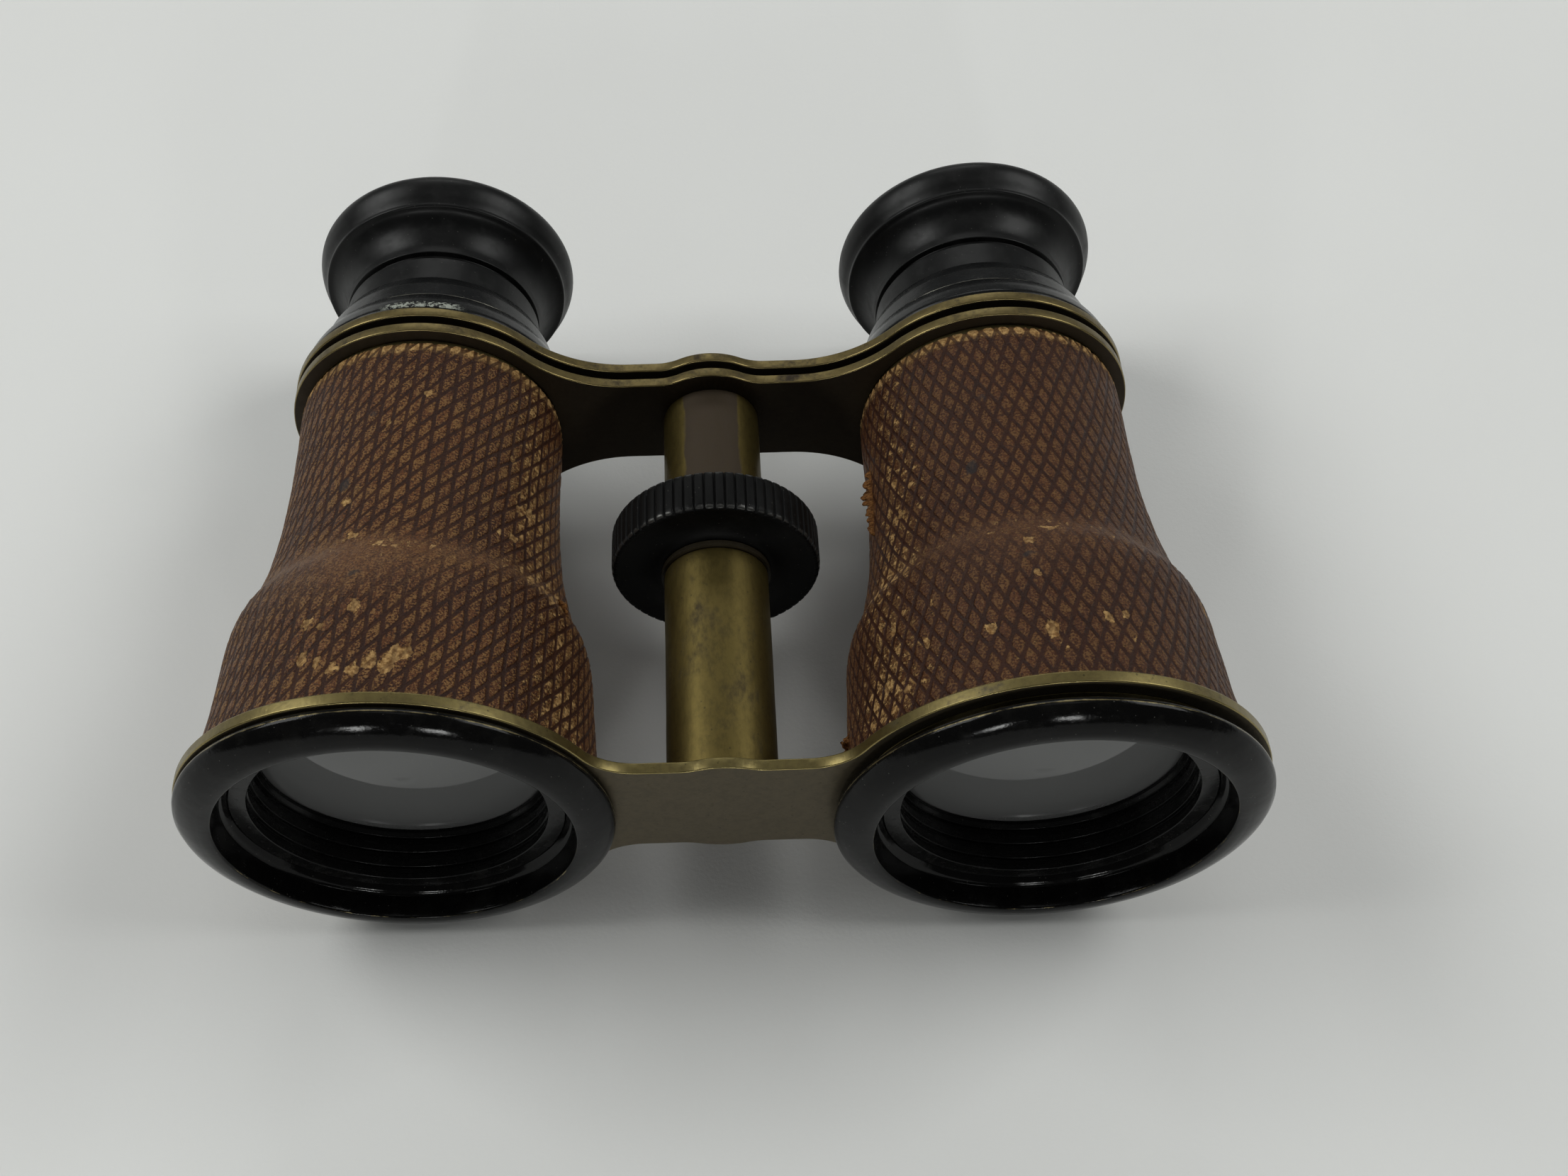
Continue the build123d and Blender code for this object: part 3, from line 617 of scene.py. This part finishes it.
def leather_sleeve(side, sign):
    """Embossed sleeve: a mesh that follows the pressed lines, trimmed to the sheet and wrapped round."""
    middle, leans, pitches = SHEETS[side]
    middle = math.radians(middle)
    lean_a, lean_b = (math.radians(v) for v in leans)
    to_lattice = np.array(((math.cos(lean_a), -math.sin(lean_a)), (math.cos(lean_b), -math.sin(lean_b))))
    to_lattice /= np.array(pitches)[:, None]
    from_lattice = np.linalg.inv(to_lattice)
    half_sheet = math.pi * SLEEVE[0][1] + 1
    reach = np.array([(x, v) for x in (-half_sheet, half_sheet) for v in (SLEEVE_FRONT, SLEEVE_REAR)])
    span = reach @ to_lattice.T
    low, high = np.floor(span.min(0)) - 1, np.ceil(span.max(0)) + 1
    along_a, along_b = ((np.arange(low[i], high[i])[:, None] + CELL_STEPS).ravel() for i in (0, 1))
    grid = np.stack(np.meshgrid(along_a, along_b, indexing="ij"), -1)
    flat = grid @ from_lattice.T
    turn = -flat[..., 0] / sleeve_radius(flat[..., 1])
    station = flat[..., 1]
    margin, overlap = 1.6, 0.12          # mm past the ends, radians past the seam, for the cuts below
    inside = (station > SLEEVE_FRONT - margin) & (station < SLEEVE_REAR + margin)
    inside &= abs(turn) < math.pi + overlap
    keep = inside[:-1, :-1] & inside[1:, :-1] & inside[:-1, 1:] & inside[1:, 1:]
    number = np.arange(inside.size).reshape(inside.shape)
    quads = np.stack([number[:-1, :-1], number[1:, :-1], number[1:, 1:], number[:-1, 1:]], -1)[keep]
    used, faces = np.unique(quads, return_inverse=True)
    places = np.stack([turn.ravel()[used], station.ravel()[used], np.zeros(used.size)], -1)
    mesh = bpy.data.meshes.new(f"leather_sleeve_{side}")
    mesh.from_pydata(places.tolist(), [], faces.reshape(-1, 4).tolist())

    # Trimmed to the sheet: the butt seam on both sides, then the two ends.
    form = bmesh.new()
    form.from_mesh(mesh)
    edge = math.pi - SEAM_GAP
    for point, outward in (((edge, 0, 0), (1, 0, 0)), ((-edge, 0, 0), (-1, 0, 0)),
                           ((0, SLEEVE_REAR, 0), (0, 1, 0)), ((0, SLEEVE_FRONT, 0), (0, -1, 0))):
        everything = form.verts[:] + form.edges[:] + form.faces[:]
        bmesh.ops.bisect_plane(form, geom=everything, plane_co=point, plane_no=outward, clear_outer=True)
    bmesh.ops.dissolve_degenerate(form, edges=form.edges, dist=1e-5)
    form.to_mesh(mesh)
    form.free()

    flat = np.zeros(len(mesh.vertices) * 3)
    mesh.vertices.foreach_get("co", flat)
    turn, station, _ = flat.reshape(-1, 3).T
    radius = sleeve_radius(station)
    lattice = np.stack([-turn * radius, station], -1) @ to_lattice.T
    near = abs(lattice - np.round(lattice)).min(1) / GROOVE_SHARE
    relief = np.clip(near, 0, 1)
    relief = relief * relief * (3 - 2 * relief)
    angle = turn + middle

    scuff = np.full(turn.size, -1.0)
    for degrees, at, half_width, half_length in SCUFFS[side]:
        round_patch = away(angle, degrees) * radius / half_width
        scuff = np.maximum(scuff, 1 - round_patch**2 - ((station - at) / half_length)**2)

    # Rubbed on the inner side and along the shoulder, where the embossing has also faded.
    inward = np.degrees(away(angle, INNER_SIDE[side]))
    crown = np.degrees(away(angle, 100.0))
    shoulder = bell(station, SHOULDER, 1.5)
    rub = 0.9 * bell(inward, 0, 17) + 0.55 * shoulder + 0.25 * bell(station, 9, 3)
    worn_flat = WORN_FLAT[side] * bell(station, 21.0, 3.4) * bell(crown, 0, 26)
    fade = np.clip(0.75 * shoulder + worn_flat, 0, 1)

    # Radius without the noise: pressed lines, wrinkled shoulder, scuffs, and ends rolled down.
    to_edge = np.minimum(station - SLEEVE_FRONT, SLEEVE_REAR - station)
    to_seam = (edge - abs(turn)) * radius
    room = 0.08                          # left under the sleeve's radius for the lumps
    level = radius - room - GROOVE_DEPTH * (1 - relief) * (1 - 0.8 * fade)
    level += 0.11 * bell(station, RIDGE, 0.8) - 0.12 * bell(station, CREASE, 0.9)
    level -= 0.06 * np.clip(scuff * 3, 0, 1) + 0.22 * np.exp(-to_edge / 0.35)
    # How strongly each kind of noise works at each point.
    crinkling = 0.15 * bell(station, CREASE, 1.8)
    lifting = 0.22 * np.exp(-to_seam / 0.9)
    fraying = 0.3 * np.exp(-to_edge / 0.8) * np.where(station < 30, 1, -1)
    drifting = 0.35 * np.minimum(1.0, to_edge / 3)
    swinging = 0.30 / radius * np.minimum(1.0, to_seam / 3)
    places, seed = [], 40.0 * sign
    for i in range(turn.size):
        spot = Vector((math.cos(angle[i]) * 3, station[i] * 0.2, math.sin(angle[i]) * 3 + seed))
        lumps = 0.07 * noise.noise(spot) + 0.03 * noise.noise(spot * 4)
        crinkle = crinkling[i] * noise.noise(Vector((angle[i] * 5, station[i] * 1.5, seed)))
        fray = fraying[i] * noise.noise(Vector((angle[i] * 18, seed, station[i] * 0.1)))
        lift = lifting[i] * abs(noise.noise(Vector((seed, station[i] * 0.35, turn[i]))))
        drift = drifting[i] * noise.noise(spot * 0.9)
        swing = angle[i] + swinging[i] * noise.noise(spot * 0.9 + Vector((7, 0, 0)))
        r = level[i] + lumps + crinkle + lift
        y = min(max(station[i] + fray + drift, SLEEVE_FRONT + 0.02), SLEEVE_REAR - 0.02)
        places.append(polar(r, swing, y))
    mesh.vertices.foreach_set("co", np.array(places, float).ravel())
    values = np.concatenate([lattice, np.clip(scuff, -1, 1)[:, None]], 1)
    mesh.attributes.new("lattice", "FLOAT_VECTOR", "POINT").data.foreach_set("vector", values.ravel())
    mesh.attributes.new("rub", "FLOAT", "POINT").data.foreach_set("value", rub)
    mesh.attributes.new("fade", "FLOAT", "POINT").data.foreach_set("value", fade)
    # The sheet is open, so which way it faces is checked.
    form = bmesh.new()
    form.from_mesh(mesh)
    bmesh.ops.recalc_face_normals(form, faces=form.faces)
    outward = sum(face.normal.x * face.calc_center_median().x for face in form.faces)
    if outward < 0:
        bmesh.ops.reverse_faces(form, faces=form.faces)
    form.to_mesh(mesh)
    form.free()
    piece = make_object(f"leather_sleeve_{side}", mesh, sign * AXIS_X)
    thick = piece.modifiers.new("thickness", "SOLIDIFY")
    thick.thickness = (LEATHER_THICK - 0.15) * MM
    thick.offset = -1
    return finish_piece(piece, "frame", "embossed_leather", f"leather_{side}", leathers[side])


def torn_curl(name, side, degrees, start, end, width, swing):
    """Ragged strip torn from the sleeve's edge, curling away from the barrel."""
    sign = SIDES[side]
    rows, columns = 46, 6
    vertices, faces = [], []
    for i in range(rows):
        along = i / (rows - 1)
        station = start + (end - start) * along
        taper = math.sin(math.pi * min(1.0, 0.06 + along * 1.02))**0.6
        ragged = 0.75 + 0.9 * noise.noise(Vector((station * 2.3, swing, sign)))
        for k in range(columns):
            out = k / (columns - 1) * width * taper * ragged
            bend = swing * out + 0.5 * noise.noise(Vector((station * 0.9, k * 0.3, swing * 9)))
            ripple = 0.35 * out * noise.noise(Vector((station * 1.3, 4.0, k * 0.5)))
            r = sleeve_radius(station) - 0.25 + out * math.cos(bend)
            angle = math.radians(degrees) + (out * math.sin(bend) + ripple) / r
            vertices.append(polar(r, angle, station + ripple))
    for i in range(rows - 1):
        for k in range(columns - 1):
            corner = i * columns + k
            faces.append((corner, corner + 1, corner + columns + 1, corner + columns))
    mesh = bpy.data.meshes.new(name)
    mesh.from_pydata(vertices, [], faces)
    piece = make_object(name, mesh, sign * AXIS_X)
    thick = piece.modifiers.new("thickness", "SOLIDIFY")
    thick.thickness = 0.3 * MM
    thick.offset = 0
    settle(piece)
    piece.data.materials.append(torn_leather)
    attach(piece, "frame")


# ================ bridge plates
def plate_outline(ring, waist, bump, ring_fillet):
    """Outer outline of a bridge: a ring round each telescope, a web, and a swelling over the column."""
    bump_fillet, steps = 6.0, 20

    def arc(x, z, radius, start, end, count):
        turns = np.linspace(start, end, count)
        return [(x + radius * math.cos(a), z + radius * math.sin(a)) for a in turns]

    bump_x = math.sqrt((bump + bump_fillet)**2 - (waist + bump_fillet)**2)
    web_x = AXIS_X - math.sqrt((ring + ring_fillet)**2 - (waist + ring_fillet)**2)
    bump_turn = math.atan2(waist + bump_fillet, bump_x)
    ring_turn = math.atan2(waist + ring_fillet, web_x - AXIS_X)
    quarter = arc(0, 0, bump, math.pi / 2, bump_turn, steps)
    quarter += arc(bump_x, waist + bump_fillet, bump_fillet, bump_turn - math.pi, -math.pi / 2, steps)
    quarter += arc(web_x, waist + ring_fillet, ring_fillet, -math.pi / 2, ring_turn - math.pi, steps)
    quarter += arc(AXIS_X, 0, ring, ring_turn, 0, steps * 4)
    half = quarter + [(x, -z) for x, z in reversed(quarter)]
    whole = half + [(-x, z) for x, z in reversed(half)]
    kept = [p for i, p in enumerate(whole) if math.dist(p, whole[i - 1]) > 1e-4]
    return np.array(kept)


def circle_outline(x, radius, count=160):
    angles = np.linspace(0, 2 * math.pi, count, endpoint=False)
    return np.stack([x + radius * np.cos(angles), radius * np.sin(angles)], -1)


def plate(name, front, outline, holes):
    """Flat plate with softly rounded edges and a faint waviness."""
    edge_round, edge_steps, bow = 0.16, 4, 0.03
    form = bmesh.new()
    wear_layer = form.verts.layers.float.new("wear")
    # (how far in from the outline, height through the plate, wear)
    section = []
    for step in range(edge_steps + 1):
        a = math.pi / 2 * step / edge_steps
        section.append((edge_round * (1 - math.sin(a)), edge_round * (1 - math.cos(a)), math.sin(2 * a)))
    section = section + [(inset, PLATE_THICK - height, worn) for inset, height, worn in reversed(section)]
    caps = ([], [])
    for loop, side in [(outline, 1)] + [(hole, -1) for hole in holes]:
        along = np.roll(loop, -1, 0) - np.roll(loop, 1, 0)
        inward = np.stack([-along[:, 1], along[:, 0]], -1)
        inward /= np.linalg.norm(inward, axis=1)[:, None]
        middle = loop.mean(0)
        if ((middle - loop) * inward).sum() < 0:
            inward = -inward
        rows = []
        for inset, height, worn in section:
            row = []
            for x, z in loop + inward * inset * side:
                wave = bow * noise.noise(Vector((x * 0.06, front, z * 0.06)))
                vertex = form.verts.new((x * MM, (front + height + wave) * MM, z * MM))
                vertex[wear_layer] = worn
                row.append(vertex)
            rows.append(row)
        for lower, upper in zip(rows, rows[1:]):
            for i in range(len(loop)):
                j = (i + 1) % len(loop)
                form.faces.new((lower[i], lower[j], upper[j], upper[i]))
        for cap, row in zip(caps, (rows[0], rows[-1])):
            cap += [form.edges.get((row[i], row[i - 1])) for i in range(len(row))]
    for cap in caps:
        bmesh.ops.triangle_fill(form, use_beauty=True, use_dissolve=False, edges=cap)
    bmesh.ops.recalc_face_normals(form, faces=form.faces)
    mesh = bpy.data.meshes.new(name)
    form.to_mesh(mesh)
    form.free()
    return make_object(name, mesh)


# ================ focus wheel and screw
def knurled_wheel():
    """Wheel with straight ridges: broad rounded tops and narrow grooves, broken edges, turned faces."""
    per_ridge, groove_share, groove_depth, crowning = 12, 0.17, 0.42, 0.05
    count = RIDGES * per_ridge
    angles = np.linspace(0, 2 * math.pi, count, endpoint=False)
    phase = (angles * RIDGES / (2 * math.pi)) % 1.0
    from_groove = np.minimum(phase, 1 - phase)
    top = np.clip(from_groove / groove_share, 0, 1)
    knurl = groove_depth * (1 - np.sqrt(1 - (1 - top)**2)) + crowning * (0.5 - from_groove)
    bore, hub, face = 4.2, 6.6, 10.6
    # (radius, station, share of the knurl, wear)
    section = [
        (bore, WHEEL_FRONT, 0, 0), (hub, WHEEL_FRONT, 0, 0), (hub + 0.12, WHEEL_FRONT + 0.12, 0, 0),
        (face - 0.1, WHEEL_FRONT + 0.12, 0, 0), (face, WHEEL_FRONT + 0.02, 0, 0.3),
        (10.95, WHEEL_FRONT + 0.02, 0.3, 0.5), (11.15, WHEEL_FRONT + 0.12, 0.8, 0.9),
        (WHEEL_RADIUS - 0.02, WHEEL_FRONT + 0.4, 1, 0.7), (WHEEL_RADIUS, WHEEL_FRONT + 0.8, 1, 0.35),
        (WHEEL_RADIUS, WHEEL_BACK - 0.8, 1, 0.35), (WHEEL_RADIUS - 0.02, WHEEL_BACK - 0.4, 1, 0.7),
        (11.15, WHEEL_BACK - 0.12, 0.8, 0.9), (10.95, WHEEL_BACK - 0.02, 0.3, 0.5),
        (face, WHEEL_BACK - 0.02, 0, 0.3), (face - 0.1, WHEEL_BACK - 0.12, 0, 0),
        (hub + 0.12, WHEEL_BACK - 0.12, 0, 0), (hub, WHEEL_BACK, 0, 0), (bore, WHEEL_BACK, 0, 0),
    ]
    vertices, amounts = [], []
    for angle, cut in zip(angles, knurl):
        for radius, station, share, worn in section:
            vertices.append(polar(radius - cut * share, angle, station))
            amounts.append(worn * max(0.0, 1 - cut / 0.2))
    return make_object("knurled_wheel", swept_mesh("knurled_wheel", vertices, amounts, count))


def threaded_screw():
    """Focus screw with its steep multi-start thread."""
    lead, starts, depth, radius, chamfer = 12.0, 8, 0.28, 2.97, 0.35
    count, row_height = 96, 0.15
    low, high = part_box("focus_screw")
    length = (high.y - low.y) / toward_eyes.y / MM
    rear = MOVING_PLATE + PLATE_THICK + 0.85
    front = rear - length + 0.1
    rows = int((rear - front) / row_height)
    vertices = []
    for station in np.linspace(front, rear, rows):
        shrink = max(0.0, chamfer - min(station - front, rear - station))
        for angle in np.linspace(0, 2 * math.pi, count, endpoint=False):
            phase = (starts * (angle / (2 * math.pi) - station / lead)) % 1.0
            ridge = min(1.0, max(0.0, abs(phase - 0.5) * 4 - 0.5))
            vertices.append(polar(radius - shrink - depth * (1 - ridge), angle, station))
    faces = []
    for i in range(rows - 1):
        for k in range(count):
            m = (k + 1) % count
            faces.append((i * count + k, i * count + m, (i + 1) * count + m, (i + 1) * count + k))
    faces.append(tuple(range(count)))
    faces.append(tuple(reversed(range((rows - 1) * count, rows * count))))
    mesh = bpy.data.meshes.new("threaded_screw")
    mesh.from_pydata(vertices, [], faces)
    face_outward(mesh)
    return make_object("threaded_screw", mesh)


# ================ parts of one telescope
# Corners are (radius, station, rounding, wear). Those of the bezel and the cell count from the lip,
# and those of the collar from its front.
def barrel_shell(side, x):
    """Barrel tube: brass outside, blackened inside, with a wide socket for the cell."""
    per_knot = 5
    line = smooth_curve(SLEEVE, per_knot)
    outer = [(radius - BRASS_INSET, station, 0, 0) for station, radius in line]
    # The bore follows the outside from the sleeve's third knot back.
    bore = [(radius - BARREL_WALL, station, 0, 0) for radius, station, *_ in reversed(outer[2 * per_knot:])]
    drum = SLEEVE[0][1] - BRASS_INSET
    neck = SLEEVE[-1][1] - BRASS_INSET
    corners = [
        (SOCKET_RADIUS, BARREL_FRONT, 0.1, 0), (drum, BARREL_FRONT, 0.1, 0), *outer,
        (neck, BARREL_REAR, 0.15, 0), (neck - BARREL_WALL, BARREL_REAR, 0.15, 0), *bore,
        (min(SOCKET_RADIUS, bore[-1][0]), SOCKET_END + 1.5, 0, 0), (SOCKET_RADIUS, SOCKET_END, 0, 0),
    ]
    piece = lathe(f"barrel_shell_{side}", x, corners, dark_inside=True)
    finish_piece(piece, "frame", "barrel_brass", f"barrel_{side}", inner_brass, tube_black)


def bezel(side, x, lip, seed):
    """Objective bezel: flat lip, rolled rim, sharp back edge, threaded spigot and stepped mouth."""
    roll = [(18.6, 0.05), (19.35, 0.26), (20.1, 0.62), (20.75, 1.08), (21.2, 1.6)]
    back_edge = [(21.35, 2.0, 0.26, 0.82), (21.15, 2.45, 0.14, 1), (20.2, 2.45, 0.1, 0), (20.1, 2.7, 0, 0)]
    spigot = [(18.25, 2.7, 0, 0), (18.25, 7.0, 0.1, 0), (16.4, 7.0, 0.1, 0), (16.4, 3.25, 0.05, 0.1)]
    mouth = [(16.8, 2.75, 0.15, 0.2), (17.15, 2.55, 0.2, 0.1), (17.35, 1.0, 0.3, 0)]
    corners = [(17.5, 0.06, 0.22, 0.68), (18.1, 0, 0.30, 0.1)]
    corners += bend(roll, 4) + back_edge + spigot + mouth
    piece = lathe(f"bezel_{side}", x, shifted(corners, lip), steps=240, dent=0.03, seed=seed)
    finish_piece(piece, "frame", "bezel_black", f"objective_bezel_{side}", black_lacquer)


def cell(side, x, lip):
    """Objective cell: flat ring, lens seat and three baffle grooves."""
    front, rear, first_groove, groove_pitch = 3.22, 17.0, 3.2, 1.7
    outside, glass, seat, wall, groove = 16.33, 15.36, 14.3, 14.6, 14.95
    corners = [
        (outside, front, 0.08, 0.3), (outside, rear, 0.1, 0), (glass, rear, 0.1, 0), (glass, 8.8, 0, 0),
        (seat, 8.8, 0.06, 0.2), (seat, 8.45, 0.06, 0.2), (wall, 8.1, 0.05, 0),
    ]
    for rib in (2, 1, 0):
        at = first_groove + groove_pitch * (rib + 0.6)
        corners += [(wall, at + 0.42, 0.08, 0.25), (groove, at + 0.32, 0.05, 0),
                    (groove, at - 0.32, 0.05, 0), (wall, at - 0.42, 0.08, 0.25)]
    corners += [(wall, front, 0.12, 0.35)]
    piece = lathe(f"cell_{side}", x, shifted(corners, lip), steps=200)
    finish_piece(piece, "frame", "cell_black", f"objective_cell_{side}", cell_black)


def collar(side, x, seed):
    """Stepped collar under the eyecup: a foot, a curved slope and three steps."""
    bore, rear = 9.0, COLLAR_REAR - COLLAR_FRONT
    slope = [(15.55, 0.75), (15.15, 2.0), (14.45, 3.45)]
    corners = [(bore, 0, 0, 0), (15.5, 0, 0.08, 0.3), (15.6, 0.5, 0.12, 0.6), *bend(slope, 6)]
    corners += [
        (14.15, 3.75, 0.14, 0.9), (13.85, 3.8, 0.06, 0), (13.8, 4.0, 0.06, 0), (13.92, 4.05, 0.12, 0.9),
        (13.40, 6.35, 0.16, 0.9), (13.1, 6.45, 0.06, 0), (13.0, 6.8, 0.1, 0.2), (12.5, 8.2, 0.14, 0.8),
        (12.3, 8.25, 0.05, 0), (12.1, rear, 0.15, 0.3), (bore, rear, 0, 0),
    ]
    piece = lathe(f"collar_{side}", x, shifted(corners, COLLAR_FRONT), steps=220, dent=0.02, seed=seed)
    finish_piece(piece, "eyepieces", "collar_black", f"eyepiece_collar_{side}",
                 chalked_black if side == "left" else collar_black)


def eyecup_shell(side, x, seed):
    """Eyecup: neck, groove, flared trumpet, rolled rim and eye dish."""
    neck = [
        (8.05, 60.0, 0, 0), (8.95, 60.0, 0.1, 0), (8.95, 66.15, 0, 0), (11.45, 66.15, 0.12, 0.3),
        (11.5, 69.85, 0.10, 0.5), (10.9, 69.98, 0.08, 0), (10.9, 70.72, 0.08, 0), (11.5, 70.85, 0.10, 0.4),
    ]
    flare = [(11.5, 71.1), (11.58, 72.0), (11.95, 73.2), (12.65, 74.4), (13.6, 75.25), (14.35, 75.5)]
    step = [(14.42, 75.62, 0.05, 0.0), (14.45, 75.95, 0.1, 0.3)]
    roll = [(14.62, 76.3), (15.05, 77.1), (15.38, 78.1), (15.40, 78.9), (15.1, 79.6), (14.6, 80.05)]
    dish = [(14.0, 80.2), (13.3, 79.9), (11.9, 78.5), (10.3, 76.8), (8.6, 75.75), (7.45, 75.25)]
    worn_from, worn_to, rim_wear = 2, 24, 0.25   # points of the rim's curve that lie on the roll
    rim = [
        (radius, station, 0, rim_wear if worn_from <= i < worn_to else 0)
        for i, (radius, station) in enumerate(smooth_curve(roll + dish, 5))
    ]
    corners = neck + bend(flare, 6) + step + rim + [(7.3, 73.9, 0.1, 0), (8.05, 73.9, 0, 0)]
    piece = lathe(f"eyecup_shell_{side}", x, corners, steps=220, dent=0.02, seed=seed)
    finish_piece(piece, "eyepieces", "eyecup_black", f"eyecup_{side}", ebonite)


# ================ build the two telescopes
for side, sign in SIDES.items():
    x, lip, seed = sign * AXIS_X, -sign * LIP_STAGGER, 10.0 * sign
    leather_sleeve(side, sign)
    barrel_shell(side, x)
    bezel(side, x, lip, seed)
    cell(side, x, lip)
    collar(side, x, seed + 3)
    eyecup_shell(side, x, seed + 6)

torn_curl("torn_curl_rear", "right", 170.0, 34.5, 45.0, 1.15, 0.5)
torn_curl("torn_curl_front", "right", 176.0, 6.0, 11.0, 1.3, -0.4)
torn_curl("torn_curl_left", "left", 22.0, 22.0, 24.6, 0.8, 0.6)

# ================ bridges, column, wheel, screw
REAR_OUTLINE = (15.9, 6.1, 7.6, 15.0)
BRIDGES = (
    # name, node, body, slot, material, front, (ring, waist, bump, ring fillet), barrel hole, screw hole
    ("front_web", "front_bridge", "frame", "bridge_brass", plate_brass,
     FRONT_PLATE, (21.4, 7.3, 8.0, 6.0), 19.6, None),
    ("rear_web", "rear_bridge", "frame", "rear_bridge_brass", rear_brass,
     REAR_PLATE, REAR_OUTLINE, 14.3, 3.08),
    ("moving_web", "eyepiece_bridge", "eyepieces", "moving_bridge_brass", rear_brass,
     MOVING_PLATE, REAR_OUTLINE, 13.4, 3.05),
)
for name, node, body, slot, material, front, sizes, hole, screw_hole in BRIDGES:
    holes = [circle_outline(sign * AXIS_X, hole) for sign in (-1, 1)]
    if screw_hole:
        holes.append(circle_outline(0, screw_hole, 64))
    piece = plate(name, front, plate_outline(*sizes), holes)
    finish_piece(piece, body, slot, node, material)

TUBES = (
    # name, node, inner radius, outer radius, front, rear, material
    ("front_column", "column_front_tube", 4.9, 5.6, 4.55, 31.3, tube_brass),
    ("rear_column", "column_rear_tube", 4.75, 5.45, 37.8, 53.85, lacquered_brass),
)
for name, node, inner_radius, outer_radius, front, rear, material in TUBES:
    wall = [(outer_radius, station, 0, 0) for station in np.linspace(front + 0.6, rear - 0.6, 40)]
    corners = [(inner_radius, front, 0, 0), (outer_radius, front, 0.12, 0), *wall,
               (outer_radius, rear, 0.25, 0.7), (inner_radius, rear, 0, 0)]
    piece = lathe(name, 0, corners, steps=160, dent=0.05, seed=front)
    finish_piece(piece, "frame", "column_brass", node, material)

finish_piece(knurled_wheel(), "wheel", "wheel_black", "focus_wheel", wheel_black)
finish_piece(threaded_screw(), "eyepieces", "screw_steel", "focus_screw", screw_steel)

# ================ CAD nodes that stay
KEPT = {
    "front_bushing": dark_bronze, "rear_bushing": dark_bronze, "focus_nut": inner_brass,
    "screw_stop": screw_steel, "screw_cap": plate_brass,
}
PAIRED = {
    "objective_crown": objective_glass, "objective_flint": cemented_glass, "eye_lens": eye_glass,
    "objective_retainer": cell_black, "eye_lens_retainer": cell_black, "draw_tube": dark_bronze,
}
KEPT |= {f"{stem}_{side}": material for stem, material in PAIRED.items() for side in SIDES}
for name, material in KEPT.items():
    frame["nodes"][name].data.materials.clear()
    frame["nodes"][name].data.materials.append(material)

# ================ floor
FLOOR_HALF, FLOOR_CELLS, FLOOR_GAP = 2.5, 24, 0.00001
form = bmesh.new()
bmesh.ops.create_grid(form, x_segments=FLOOR_CELLS, y_segments=FLOOR_CELLS, size=FLOOR_HALF)
for vertex in form.verts:
    vertex.co.z = cad_box[0][2] - FLOOR_GAP
mesh = bpy.data.meshes.new("paper_floor")
form.to_mesh(mesh)
form.free()
floor = add_object("paper_floor", mesh)
floor.data.materials.append(paper)


# ================ light
def panel(name, place, width, height, power):
    """Rectangular soft light that faces the object."""
    data = bpy.data.lights.new(name, "AREA")
    data.shape = "RECTANGLE"
    data.size, data.size_y = width, height
    data.energy = power
    data.color = (0.985, 1.0, 0.980)
    lamp = add_object(name, data)
    lamp.location = place
    lamp.rotation_euler = (-Vector(place)).to_track_quat("-Z", "Y").to_euler()


# name, place, width, height, power
panel("window_left", (-1.05, 0.30, 0.95), 0.9, 0.6, 10.2)
panel("window_right", (1.00, 0.25, 0.95), 0.9, 0.6, 7.8)
panel("behind", (-0.05, 1.35, 0.90), 0.9, 0.40, 3.4)
panel("ceiling", (0.05, 0.10, 1.55), 0.7, 0.4, 0.6)
panel("front_left", (-0.32, -1.30, 0.34), 0.10, 0.18, 1.9)
panel("front_right", (0.22, -1.30, 0.34), 0.10, 0.18, 1.9)

# The room is dim in front of the object and above it, and paler behind it.
world = bpy.data.worlds.new("studio")
world.use_nodes = True
nodes, links = world.node_tree.nodes, world.node_tree.links
background = nodes["Background"]
room = nodes.new("ShaderNodeTexCoord")
split = nodes.new("ShaderNodeSeparateXYZ")
blend = nodes.new("ShaderNodeMapRange")
blend.interpolation_type = "SMOOTHSTEP"
for name, value in (("From Min", -0.5), ("From Max", 0.8), ("To Min", 0.05), ("To Max", 0.15)):
    blend.inputs[name].default_value = value
links.new(room.outputs["Generated"], split.inputs[0])
links.new(split.outputs["Y"], blend.inputs["Value"])
links.new(blend.outputs["Result"], background.inputs["Strength"])
background.inputs["Color"].default_value = (0.97, 1.0, 0.985, 1)
bpy.context.scene.world = world
bpy.context.scene.view_settings.view_transform = "Standard"

# ================ camera
# Solved from the photograph's ellipses: lens and frame shift, place, and turn in degrees.
camera_data = bpy.data.cameras.new("camera")
camera_data.sensor_width, camera_data.lens = 36.0, 37.76
camera_data.shift_x, camera_data.shift_y = 0.0429, 0.0165
camera_data.clip_start = 0.01
camera = add_object("camera", camera_data)
camera.location = (-0.00132, -0.10112, 0.17078)
camera.rotation_euler = [math.radians(v) for v in (30.24, 0.470, -1.613)]
bpy.context.scene.camera = camera

bpy.context.view_layer.update()
